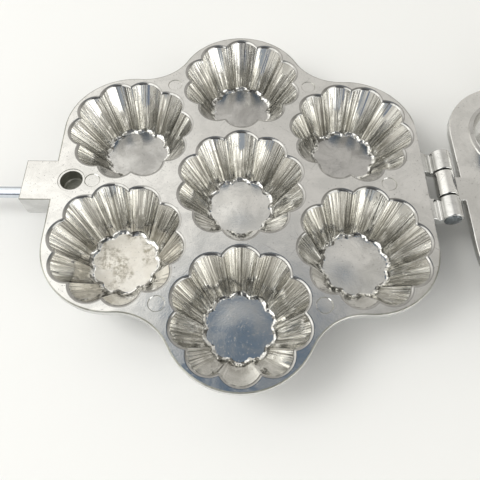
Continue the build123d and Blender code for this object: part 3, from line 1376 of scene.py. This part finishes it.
class LinedMetal(Finish):
    """Metal with lines from how it was drawn or turned.

    The lines run where grain, the scale along X, Y and Z in lines a metre, is small.
    """

    tone = (0.75, 0.79, 0.85)
    shade = (0.63, 0.67, 0.73)
    rough = (0.05, 0.12)
    grain = (30, 1300, 1300)

    def dress(self, net: Net, shader: bpy.types.Node) -> None:
        """The lines over the cast skin's clouds.

        Args:
            net: the material's nodes.
            shader: its shader.
        """
        place = net.place
        skin = CastSkin().put_in(net, Place=place, Tone=self.tone, Shade=self.shade, Pits=0.25,
                                 Scratches=0.2, Grain=0.1, Wave=0.1)
        lines = FineLines().put_in(net, Chart=net.stretch(place, self.grain), Fine=0.06, Broad=0.03,
                                   Normal=skin.outputs["Normal"])
        tone = net.blend(lines.outputs["Lines"], skin.outputs["Color"], self.shade)
        rough = net.span(lines.outputs["Broad"], 0, 1, *self.rough)
        net.feed(shader, Base_Color=tone, Metallic=1.0, Roughness=rough, Normal=lines.outputs["Normal"])


class PolishedRod(LinedMetal):
    """Bright drawn steel, with lines along the rod."""

    name = "polished_rod"


class PlatedSteel(LinedMetal):
    """Nickel-plated steel, with lines round the turned pieces."""

    name = "plated_steel"
    tone = (0.76, 0.74, 0.7)
    shade = (0.66, 0.64, 0.6)
    rough = (0.12, 0.2)
    grain = (1500, 25, 25)


class HingeSteel(LinedMetal):
    """The darker steel of the hinge pin, with lines across its heads."""

    name = "hinge_steel"
    tone = (0.24, 0.265, 0.28)
    shade = (0.15, 0.165, 0.175)
    rough = (0.22, 0.34)
    grain = (900, 60, 120)


class TurnedWood(Finish):
    """Varnished turned wood."""

    name = "turned_wood"

    def dress(self, net: Net, shader: bpy.types.Node) -> None:
        """Rings cut along the grip, darker pores and a thin varnish.

        Args:
            net: the material's nodes.
            shader: its shader.
        """
        place = net.place
        rings = net.noise(net.stretch(place, (14, 260, 260)), 1.0, 5, 0.6, 0.8)
        pores = net.noise(net.stretch(place, (60, 2600, 2600)), 1.0, 2)
        tone = net.blend(net.span(rings, 0.35, 0.68), (0.36, 0.17, 0.07), (0.17, 0.065, 0.025))
        tone = net.blend(net.span(pores, 0.62, 0.74, 0, 0.6), tone, (0.07, 0.03, 0.015))
        lines = FineLines().put_in(net, Chart=net.stretch(place, (1300, 20, 20)), Fine=0.04, Broad=0.0,
                                   Normal=net.bump(pores, 0.2, 0.00005))
        rough = net.span(rings, 0.3, 0.7, 0.34, 0.48)
        net.feed(shader, Base_Color=tone, Roughness=rough, Coat_Weight=0.35, Coat_Roughness=0.15,
                 Normal=lines.outputs["Normal"])


def lathe(node: str, half: Half, finish: Finish, slot: str, profile: Profile, at: Vector,
          axis: Vector = UP, out: Vector = ALONG, steps: int = 64) -> None:
    """Turns the piece that stands for one CAD node, dresses it and puts it in its place.

    Args:
        node: the node's name.
        half: the half that the piece rides on.
        finish: the piece's finish.
        slot: its material slot.
        profile: distances along its axis and radii, from end to end.
        at: the point that the distances start from.
        axis: the direction in which they run.
        out: the direction in which the profile is drawn.
        steps: the number of sides.
    """
    piece = Bench.turned(f"{node}_made", profile, at, axis, out, steps)
    piece.data.materials.append(finish.material())
    Bench.smooth(piece, 40)
    Bench.hand_over(piece, half, slot, node)


@dataclass
class Casting:
    """What both castings share: a plate, a lug, and how their faces get their finishes.

    Attributes:
        half: which half it is.
        plate: its plate.
        lug: its lug.
        finishes: the finishes on it, by material number.
        knuckle_reach: how far inside the plate's straight edge the knuckles' finish starts.
        top_band: how far down its edges the polish of the parting face reaches.
    """

    half: Half
    plate: Plate = Plate()
    lug: Lug = Lug()
    finishes: tuple[type[Finish], ...] = ()
    knuckle_reach: float = 1.0
    top_band: float = 0.7

    def cavities(self, piece: Piece, solid: Piece, hollow: Piece) -> None:
        """Builds the cups or plugs from two shapes, which are used up.

        Args:
            piece: the casting.
            solid: what is added at each cup's place.
            hollow: what is then taken away there.
        """
        for shape, use in ((solid, Bench.join), (hollow, Bench.cut)):
            for turn, centre in LAYOUT.cups():
                use(piece, Bench.copy(shape, "tool", Cup.place(turn, centre)))
            bpy.data.objects.remove(shape)

    def region(self, point: Vector, normal: Vector) -> type[Finish]:
        """The finish of a face, by its middle in millimetres and its normal. Each casting has its own."""
        raise NotImplementedError

    def finish(self, piece: Piece, cavities: str) -> None:
        """Gives each face its finish, shades the piece and puts it in its place.

        Args:
            piece: the casting, drawn with its parting face at height 0.
            cavities: how the names of its cups or plugs start.
        """
        piece.data.materials.clear()
        for finish in self.finishes:
            piece.data.materials.append(finish().material())
        for face in piece.data.polygons:
            face.material_index = self.finishes.index(self.region(face.center / MM, face.normal))
        Bench.smooth(piece)
        nodes = [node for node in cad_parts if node.startswith(cavities)]
        Bench.hand_over(piece, self.half, "cast_aluminium", f"{self.half.value}_deck", *nodes)


@dataclass
class BaseCasting(Casting):
    """The base half in one piece: the plate with seven fluted cups, the lug, the socket and two knuckles.

    Attributes:
        floors: the finish of each cup's floor, the middle cup first.
        cup: the cups' shape.
        cup_reach: the radius within which a face may belong to a cup.
        knuckle_length: the length of each knuckle.
        socket_radius: the locating socket's radius.
        socket_depth: its depth.
        socket_step: how much wider the shallow step round its mouth is.
        step_depth: the step's depth.
        boss_wall: the thickness of the boss round the socket.
        boss_floor: the boss's thickness under it.
        mark_ring: how far from the middle the push-out marks are.
        mark_radius: their radius.
        mark_depth: their depth.
        mark_slope: how far in their sides slope.
    """

    half: Half = Half.BASE
    finishes: tuple[type[Finish], ...] = (CastFace, CastWall, CupFloor, MattFloor, RoughCasting, RecessPaintedShade,
                                          FootRing, HingeCasting, CupLipPaintedShade, CupFloorPaintedShade)
    # The back cups' floors get the painted shade.
    floors: tuple[type[Finish], ...] = (CupFloor, CupFloorPaintedShade, CupFloorPaintedShade, CupFloorPaintedShade, MattFloor, CupFloor,
                                        CupFloor)
    cup: Cup = Cup()
    cup_reach: float = 33.0
    knuckle_length: float = 11.5
    socket_radius: float = 5.4
    socket_depth: float = 7.0
    socket_step: float = 1.2
    step_depth: float = 0.3
    boss_wall: float = 2.6
    boss_floor: float = 2.5
    mark_ring: float = 72.5
    mark_radius: float = 3.8
    mark_depth: float = 0.25
    mark_slope: float = 0.35

    def build(self) -> None:
        """Joins and cuts the casting's shapes and dresses it."""
        piece = self.plate.build("base_casting")
        knuckles = [Knuckle(start, self.knuckle_length, -LAYOUT.hinge_drop)
                    for start in (LAYOUT.hinge_end - self.knuckle_length, -LAYOUT.hinge_end)]
        Bench.join(piece, self.lug.build())
        Bench.join(piece, self.boss())
        for knuckle in knuckles:
            Bench.join(piece, knuckle.build())
        self.cavities(piece, self.cup.outside(), self.cup.hollow())
        for knuckle in knuckles:
            Bench.cut(piece, knuckle.bore())
        Bench.cut(piece, self.lug.bore())
        Bench.cut(piece, self.socket())
        self.marks(piece)
        self.chart(piece)
        self.finish(piece, "cup_")

    def boss(self) -> Piece:
        """Builds the boss under the plate round the socket.

        Returns:
            The closed shape, in object mode.
        """
        radius, low, chamfer = self.socket_radius + self.boss_wall, -self.socket_depth - self.boss_floor, 1.0
        profile = [(-1, 0), (-1, radius), (low + chamfer, radius), (low, radius - chamfer), (low, 0)]
        return Bench.turned("boss", profile, ALONG * -LAYOUT.peg_out)

    def socket(self) -> Piece:
        """Builds the locating socket with the shallow step round its mouth.

        Returns:
            The closed shape, in object mode.
        """
        radius, edge, low = self.socket_radius, self.socket_radius + self.socket_step, -self.socket_depth
        profile = [(1, 0), (1, edge), (0, edge), (-self.step_depth, edge - 0.2),
                   (-self.step_depth - 0.04, radius + 0.1), (-self.step_depth - 0.2, radius),
                   (low + 0.5, radius), (low, radius - 0.5), (low, 0)]
        return Bench.turned("socket", profile, ALONG * -LAYOUT.peg_out, steps=72)

    def marks(self, piece: Piece) -> None:
        """Sinks the shallow round marks of the push-out pins between the outer cups.

        Args:
            piece: the casting.
        """
        radius, deep = self.mark_radius, self.mark_depth
        profile = [(1, 0), (1, radius), (0, radius), (-deep, radius - self.mark_slope), (-deep * 0.8, 0)]
        for turn, _ in LAYOUT.ring():
            at = heading(turn + 180 / LAYOUT.cup_count, self.mark_ring)
            Bench.cut(piece, Bench.turned("mark", profile, at, steps=48))

    def nearest(self, point: Vector) -> tuple[int, Vector]:
        """Finds the cup nearest to a point.

        Args:
            point: the point.

        Returns:
            Its number, with the middle one 0, and the way out from its axis.
        """
        level = Vector((point.x, point.y, 0))
        ways = [level - centre for _, centre in LAYOUT.cups()]
        number = min(range(len(ways)), key=lambda place: ways[place].length)
        return number, ways[number]

    def region(self, point: Vector, normal: Vector) -> type[Finish]:
        """Finds the finish of a face by its place and normal.

        Args:
            point: the face's middle in millimetres.
            normal: its normal.

        Returns:
            The finish.
        """
        number, out = self.nearest(point)
        inside = Vector((point.x + LAYOUT.peg_out, point.y, 0)).length < self.socket_radius + self.socket_step
        in_socket = inside and point.z > -self.socket_depth - NEAR
        # The socket's inside gets the painted shade.
        if in_socket and (point.z < -self.step_depth - 0.1 or 0.1 < normal.z < 0.9):
            return RecessPaintedShade
        if out.length < self.cup_reach and -self.cup.depth - NEAR < point.z < -NEAR:
            found = self.cup_region(number, out, point.z, normal)
            if found:
                return found
        on_hinge = point.x > LAYOUT.side_x - self.knuckle_reach and normal.z > -0.3
        in_mark = -self.mark_depth < point.z < -0.01 and out.length > self.cup_reach
        lug_side = point.x < -LAYOUT.side_x and abs(normal.z) < 0.6
        if on_hinge:
            return HingeCasting
        # The marks' sloped sides get the painted shade, as a dark outline.
        if in_mark and 0.1 < normal.z < 0.99:
            return RecessPaintedShade
        return CastFace if point.z > -self.top_band and not lug_side else RoughCasting

    def cup_region(self, number: int, out: Vector, height: float, normal: Vector) -> type[Finish] | None:
        """Finds the finish of a face inside a cup.

        Args:
            number: the cup's number, with the middle one 0.
            out: the way to the face from the cup's axis.
            height: the face's height over the parting face.
            normal: the face's normal.

        Returns:
            The finish, or None for a face outside the cup.
        """
        over_floor = height + self.cup.depth
        nearly_level = normal.z > 0.98 and out.dot(normal) > -0.3
        facing_in = normal.z > 0 and out.normalized().dot(normal) < 0.35
        lip_depth = (1 - sin(self.cup.tip.lean)) * self.cup.lip
        if over_floor < self.cup.crown and nearly_level:
            return self.floors[number]
        if over_floor < self.cup.fillet - 0.3:
            return FootRing
        if facing_in:
            # The lips get the painted shade.
            return CupLipPaintedShade if height > -lip_depth else CastWall
        return None

    def chart(self, piece: Piece) -> None:
        """Lays a map whose U runs round each cup and whose V runs down its wall, in millimetres.

        Args:
            piece: the casting.
        """
        radius, apart = 30, 517.0
        centres = [centre for _, centre in LAYOUT.cups()]
        mesh = piece.data
        while mesh.uv_layers:
            mesh.uv_layers.remove(mesh.uv_layers[0])
        sheet = mesh.uv_layers.new(name="walls")
        for face in mesh.polygons:
            number, out = self.nearest(face.center / MM)
            middle = atan2(out.y, out.x)
            for corner in face.loop_indices:
                point = mesh.vertices[mesh.loops[corner].vertex_index].co / MM
                around = point - centres[number]
                angle = atan2(around.y, around.x)
                angle += tau * round((middle - angle) / tau)
                sheet.data[corner].uv = (angle * radius + number * apart, point.z)


@dataclass
class CoverCasting(Casting):
    """The cover half in one piece: the plate with seven hollow plugs, the lug and the middle knuckle."""

    half: Half = Half.COVER
    finishes: tuple[type[Finish], ...] = (CastFace, PlugFace, RoughCasting)
    foot: float = 22.5
    top: float = 13.0
    height: float = 20.0
    top_round: float = 1.6
    wall: float = 3.0
    collar: float = 1.7
    collar_height: float = 0.7
    collar_round: float = 0.3
    knuckle_length: float = 13.7

    def build(self) -> None:
        """Joins and cuts the casting's shapes and dresses it."""
        piece = self.plate.build("cover_casting")
        knuckle = Knuckle(-self.knuckle_length / 2, self.knuckle_length,
                          LAYOUT.hinge_drop + LAYOUT.parting_gap)
        Bench.join(piece, self.lug.build())
        Bench.join(piece, knuckle.build())
        self.cavities(piece, self.plug(), self.inside())
        Bench.cut(piece, knuckle.bore())
        Bench.cut(piece, self.lug.bore())
        self.finish(piece, "plug_")

    def plug(self) -> Piece:
        """Builds a plug with a rounded top and a low collar round its foot.

        Returns:
            The closed shape, in object mode.
        """
        slope = (self.foot - self.top) / self.height
        lean = atan(slope)
        rim, step, soft, top = self.foot + self.collar, self.collar_height, self.collar_round, self.top_round
        centre = (self.height - top, self.top + slope * top - top / cos(lean))
        profile = [(-1.0, 0), (-1.0, rim), (step - soft, rim), (step - 0.09, rim - 0.09), (step, rim - soft),
                   (step, self.foot + 0.35), (step + 0.1, self.foot + 0.1 - slope * 0.8),
                   (step + 0.5, self.foot - slope * 1.2),
                   *bow(centre, top, top, lean, pi / 2, 6), (self.height, 0)]
        return Bench.turned("plug", profile, Vector((0, 0, 0)), steps=96)

    def inside(self) -> Piece:
        """Builds the space inside a plug, open under the plate.

        Returns:
            The closed shape, in object mode.
        """
        foot, top, roof, below = self.foot - self.wall, self.top - self.wall, self.height - self.wall, -9
        profile = [(below, 0), (below, foot), (0, foot), (roof - 1, top + 0.5), (roof, top - 0.5), (roof, 0)]
        return Bench.turned("inside", profile, Vector((0, 0, 0)), steps=72)

    def region(self, point: Vector, normal: Vector) -> type[Finish]:
        """Finds the finish of a face by its place and normal.

        Args:
            point: the face's middle in millimetres.
            normal: its normal.

        Returns:
            The finish.
        """
        if point.z > 0.02 and point.x < LAYOUT.side_x:
            return PlugFace if normal.z > -0.1 else RoughCasting
        beyond = point.x > LAYOUT.side_x - self.knuckle_reach or point.x < -LAYOUT.side_x
        return CastFace if point.z > -self.top_band or beyond else RoughCasting


@dataclass
class Handle:
    """The rod, ferrule, wooden grip and end nut of one half, drawn beyond the base's lug."""

    half: Half
    exposed: float = 110.0
    clearance: float = 0.03
    rod_ease: float = 0.4
    rod_beyond: float = 4.5
    ferrule_length: float = 14.0
    ferrule_radius: float = 8.23
    ferrule_round: float = 1.6
    ferrule_front: float = 1.2
    ferrule_inside: float = 7.1
    grooves: tuple[float, ...] = (4.2, 6.4)
    grip_length: float = 110.0
    tenon: float = 7.0
    neck: float = 9.0
    swell: float = 11.7
    waist: float = 9.8
    end: float = 10.4
    end_round: float = 3.0
    washer: float = 7.5
    washer_thickness: float = 1.2
    nut: float = 5.0
    nut_length: float = 7.0
    nut_side: float = 3.0
    nut_hole: float = 4.6

    @property
    def grip_start(self) -> float:
        """How far beyond the lug the grip's visible wood starts."""
        return self.exposed + self.ferrule_length

    @property
    def grip_end(self) -> float:
        """How far beyond the lug the grip ends."""
        return self.grip_start + self.grip_length

    @property
    def hole(self) -> float:
        """The radius of the holes for the rod."""
        return LAYOUT.rod_radius + self.clearance

    def build(self) -> None:
        """Makes the four pieces."""
        self.add("rod", PolishedRod(), "polished_rod", self.rod_profile())
        self.add("ferrule", PlatedSteel(), "plated_steel", self.ferrule_profile())
        self.add("grip", TurnedWood(), "turned_wood", self.grip_profile(), 80)
        self.add("end_nut", PlatedSteel(), "plated_steel", self.nut_profile())

    def add(self, name: str, finish: Finish, slot: str, profile: Profile, steps: int = 64) -> None:
        """Turns one piece about the rod's axis."""
        at = Vector((-LAYOUT.lug_face, 0, -LAYOUT.rod_depth))
        lathe(f"{self.half.value}_{name}", self.half, finish, slot, profile, at, -ALONG, BACK, steps)

    def rod_profile(self) -> Profile:
        """Draws a plain rod with an eased inner end.

        Returns:
            Distances from the lug and radii.
        """
        start, radius = -LAYOUT.rod_seat, LAYOUT.rod_radius
        end = self.grip_end + self.washer_thickness + self.rod_beyond
        return [(start, 0), (start, radius - self.rod_ease), (start + self.rod_ease, radius), (end, radius),
                (end, 0)]

    def ferrule_profile(self) -> Profile:
        """Draws a cap with a rounded front, two rolled grooves and a rolled rear edge.

        Returns:
            Distances from the lug and radii.
        """
        front, back, radius, soft = self.exposed, self.grip_start, self.ferrule_radius, self.ferrule_round
        wall, inside = front + self.ferrule_front, self.ferrule_inside
        profile = [(front, self.hole), *bow((front + soft, radius - soft), soft, soft, -pi / 2, 0, 5)]
        for groove in self.grooves:
            middle, low = front + groove, radius - 0.3
            profile += [(middle - 0.5, radius), (middle - 0.2, low), (middle + 0.2, low),
                        (middle + 0.5, radius)]
        roll = radius + 0.25
        profile += [(back - 1.2, radius), (back - 0.9, roll), (back - 0.3, roll), (back, radius)]
        return profile + [(back, inside), (wall, inside), (wall, self.hole), (front, self.hole)]

    def grip_profile(self) -> Profile:
        """Draws a grip with a swell, a waist and a rounded end, and a tenon in the ferrule.

        Returns:
            Distances from the lug and radii.
        """
        stations = [(0.0, self.neck), (0.06, 9.75), (0.14, 10.75), (0.24, 11.45), (0.35, self.swell),
                    (0.46, 11.45), (0.57, 10.75), (0.67, 10.05), (0.76, self.waist), (0.86, 9.95),
                    (0.95, 10.3)]
        inner, soft = self.exposed + self.ferrule_front, self.end_round
        profile = [(inner, self.hole), (inner, self.tenon), (self.grip_start, self.tenon)]
        profile += [(self.grip_start + share * self.grip_length, radius) for share, radius in stations]
        profile += bow((self.grip_end - soft, self.end - soft), soft, soft, 0, pi / 2, 6)
        return profile + [(self.grip_end, self.hole), (inner, self.hole)]

    def nut_profile(self) -> Profile:
        """Draws a washer and a domed nut.

        Returns:
            Distances from the lug and radii.
        """
        start, ease, soft = self.grip_end, 0.2, 0.3
        lip = start + self.washer_thickness
        profile = [(lip + self.nut_hole, 0), (lip + self.nut_hole, self.hole), (start, self.hole),
                   (start, self.washer - ease), (start + ease, self.washer), (lip - soft, self.washer),
                   (lip, self.washer - soft), (lip, self.nut - ease), (lip + soft, self.nut)]
        dome = self.nut_length - self.nut_side
        return profile + bow((lip + self.nut_side, 0), dome, self.nut, 0, pi / 2, 8)


@dataclass
class HingePin:
    """The pin through the knuckles, with low riveted heads."""

    radius: float = 2.0
    head: float = 4.1
    head_height: float = 1.0

    def build(self) -> None:
        """Turns the pin with a low dome at each end."""
        end = LAYOUT.hinge_end
        dome = bow((end, 0), self.head_height, self.head, pi / 2, 0, 8)
        profile = [(-along, out) for along, out in dome] + [(-end, self.radius), (end, self.radius)]
        profile += reversed(dome)
        at = Vector((LAYOUT.hinge_x, 0, -LAYOUT.hinge_drop))
        lathe("hinge_pin", Half.BASE, HingeSteel(), "hinge_steel", profile, at, BACK, ALONG, 40)


@dataclass
class LocatingPeg:
    """The tapered peg on the cover."""

    radius: float = 4.8
    taper: float = 0.5
    height: float = 5.0

    def build(self) -> None:
        """Turns the peg with an eased top."""
        top, at = self.radius - self.taper, ALONG * -LAYOUT.peg_out
        profile = [(0, 0), (0, self.radius), (self.height - 0.6, top + 0.06), (self.height - 0.2, top - 0.15),
                   (self.height, top - 0.6), (self.height, 0)]
        lathe("locating_peg", Half.COVER, CastFace(), "cast_aluminium", profile, at, steps=48)


@dataclass(frozen=True)
class Panel:
    """A soft patch of light or shade in the studio's surroundings.

    Attributes:
        azimuth: its direction in degrees, 0 to the right and 90 to the back.
        elevation: its height over the horizon in degrees.
        size: the angle in degrees from its middle to where it has faded out.
        core: the angle within which it is full.
        tone: its colour.
    """

    azimuth: float
    elevation: float
    size: float
    core: float
    tone: Tone


@dataclass(frozen=True)
class View:
    """The photograph's point of view.

    Attributes:
        place: where the camera is, in metres.
        azimuth: how far it is turned about the vertical, in degrees.
        elevation: how steeply it looks down.
        roll: how far it is turned about its line of sight.
        lens: its focal length in millimetres.
        sensor: its sensor's width in millimetres.
        near: the nearest distance that it shows, in metres.
    """

    place: tuple[float, float, float] = (-0.002889, -0.134384, 0.226754)
    azimuth: float = -1.35
    elevation: float = 62.86
    roll: float = 1.87
    lens: float = 36.84
    sensor: float = 36.0
    near: float = 0.01

    @property
    def matrix(self) -> Matrix:
        """Works out the camera's place and turn.

        Returns:
            The camera's matrix.
        """
        azimuth, elevation, roll = radians(self.azimuth), radians(self.elevation), radians(self.roll)
        back = Vector((sin(azimuth) * cos(elevation), -cos(azimuth) * cos(elevation), sin(elevation)))
        right = Vector((cos(azimuth), sin(azimuth), 0))
        up = back.cross(right)
        across = right * cos(roll) + up * sin(roll)
        upright = up * cos(roll) - right * sin(roll)
        placed = Matrix((across, upright, back)).transposed().to_4x4()
        placed.translation = Vector(self.place)
        return placed


@dataclass
class Studio:
    """The table, the surroundings, the lamp and the camera.

    Attributes:
        heights: the surroundings' tone at heights from the horizon, 0, to straight up, 1.
        panels: the patches of light and shade in the surroundings, each laid over those before it.
        backdrop: the tone that the camera sees in place of the surroundings.
        table: the table's tone.
        table_rough: its roughness.
        table_size: its width in metres.
        lamp_place: where the lamp is, in metres, from where it shines on the middle of the base.
        lamp_size: its width in metres.
        lamp_energy: its power in watts.
        view: the camera's point of view.
    """

    heights: tuple[tuple[float, Tone], ...] = (
        (0.0, (0.46, 0.45, 0.415)),
        (0.16, (0.52, 0.505, 0.465)),
        (0.32, (0.65, 0.63, 0.585)),
        (0.5, (0.72, 0.705, 0.665)),
        (0.85, (0.66, 0.64, 0.61)),
        (0.97, (0.4, 0.4, 0.395)),
    )
    panels: tuple[Panel, ...] = (
        Panel(165, 46, 52, 12, (1.35, 1.33, 1.27)),
        Panel(355, 52, 34, 22, (0.42, 0.41, 0.38)),
        Panel(196, 44, 27, 21, (2.3, 2.28, 2.2)),
        Panel(318, 24, 32, 24, (1.8, 1.8, 1.76)),
        Panel(222, 42, 24, 18, (1.9, 1.9, 1.85)),
        Panel(272, 4, 20, 16, (0.3, 0.33, 0.37)),
        Panel(272, 38, 26, 20, (0.16, 0.16, 0.16)),
        Panel(270, 62, 23, 16, (0.16, 0.165, 0.175)),
        Panel(87, 77, 14, 7, (0.11, 0.155, 0.215)),
        Panel(242, 14, 9, 7, (0.16, 0.19, 0.25)),
    )

    backdrop: Tone = (0.97, 0.97, 0.96)
    table: Tone = (0.84, 0.84, 0.825)
    table_rough: float = 0.7
    table_size: float = 6.0
    lamp_place: tuple[float, float, float] = (-0.88, -0.05, 0.9)
    lamp_size: float = 0.55
    lamp_energy: float = 5.5
    view: View = View()

    def surroundings(self) -> None:
        """A world whose tone depends on the direction, plain and pale for the camera."""
        world = bpy.data.worlds.new("studio")
        bpy.context.scene.world = world
        world.use_nodes = True
        net, nodes = Net(world.node_tree), world.node_tree.nodes
        way = net.node("ShaderNodeTexCoord").outputs["Generated"]
        tone = self.gradient(net, way)
        for panel in self.panels:
            flat = cos(radians(panel.elevation))
            middle = heading(panel.azimuth, flat) + UP * sin(radians(panel.elevation))
            dot = net.node("ShaderNodeVectorMath", operation="DOT_PRODUCT")
            net.put(dot.inputs[0], way)
            net.put(dot.inputs[1], middle)
            fade = net.span(dot.outputs["Value"], cos(radians(panel.size)), cos(radians(panel.core)))
            tone = net.blend(fade, tone, panel.tone)
        around = net.feed(nodes["Background"], Color=tone).outputs["Background"]
        plain = net.feed(net.node("ShaderNodeBackground"), Color=self.backdrop).outputs["Background"]
        seen = net.node("ShaderNodeLightPath").outputs["Is Camera Ray"]
        choose = net.node("ShaderNodeMixShader")
        for socket, value in zip(choose.inputs, (seen, around, plain)):
            net.put(socket, value)
        net.feed(nodes["World Output"], Surface=choose.outputs["Shader"])

    def gradient(self, net: Net, way: Socket) -> Socket:
        """Adds the surroundings' tone by height, from the horizon up.

        Args:
            net: the world's nodes.
            way: the direction.

        Returns:
            The tone.
        """
        ramp = net.feed(net.node("ShaderNodeValToRGB"), Fac=net.part(way, "Z"))
        stops = ramp.color_ramp.elements
        while len(stops) < len(self.heights):
            stops.new(1.0)
        for stop, (height, tone) in zip(stops, self.heights):
            stop.position = height
            stop.color = (*tone, 1.0)
        return ramp.outputs["Color"]

    def floor(self) -> None:
        """A plain pale table."""
        bpy.ops.object.select_all(action="DESELECT")
        bpy.ops.mesh.primitive_plane_add(size=self.table_size)
        table = bpy.context.object
        table.name = "table"
        material = bpy.data.materials.new("table")
        material.use_nodes = True
        shader = material.node_tree.nodes["Principled BSDF"]
        Net(material.node_tree).feed(shader, Base_Color=self.table, Roughness=self.table_rough)
        table.data.materials.append(material)

    def lamp(self) -> None:
        """A large soft lamp at the left, which doesn't show in reflections."""
        lamp = bpy.data.objects.new("window", bpy.data.lights.new("window", "AREA"))
        bpy.context.scene.collection.objects.link(lamp)
        lamp.data.size = self.lamp_size
        lamp.data.energy = self.lamp_energy
        lamp.visible_glossy = False
        lamp.location = self.lamp_place
        lamp.rotation_mode = "QUATERNION"
        lamp.rotation_quaternion = (-lamp.location).to_track_quat("-Z", "Y")

    def camera(self) -> None:
        """The camera, at the photograph's point of view."""
        camera = bpy.data.objects.new("camera", bpy.data.cameras.new("camera"))
        bpy.context.scene.collection.objects.link(camera)
        camera.data.lens = self.view.lens
        camera.data.sensor_width = self.view.sensor
        camera.data.clip_start = self.view.near
        camera.matrix_world = self.view.matrix
        bpy.context.scene.camera = camera

    def build(self) -> None:
        """Sets the studio up."""
        self.camera()
        self.floor()
        self.surroundings()
        self.lamp()
        bpy.context.scene.view_settings.view_transform = "Standard"


def main() -> None:
    """Builds the mold and the studio."""
    logging.basicConfig(level=logging.INFO, format="%(name)s: %(message)s")
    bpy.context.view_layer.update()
    Studio().build()
    BaseCasting().build()
    CoverCasting().build()
    LocatingPeg().build()
    HingePin().build()
    for half in Half:
        Handle(half).build()


if __name__ == "__main__":
    main()
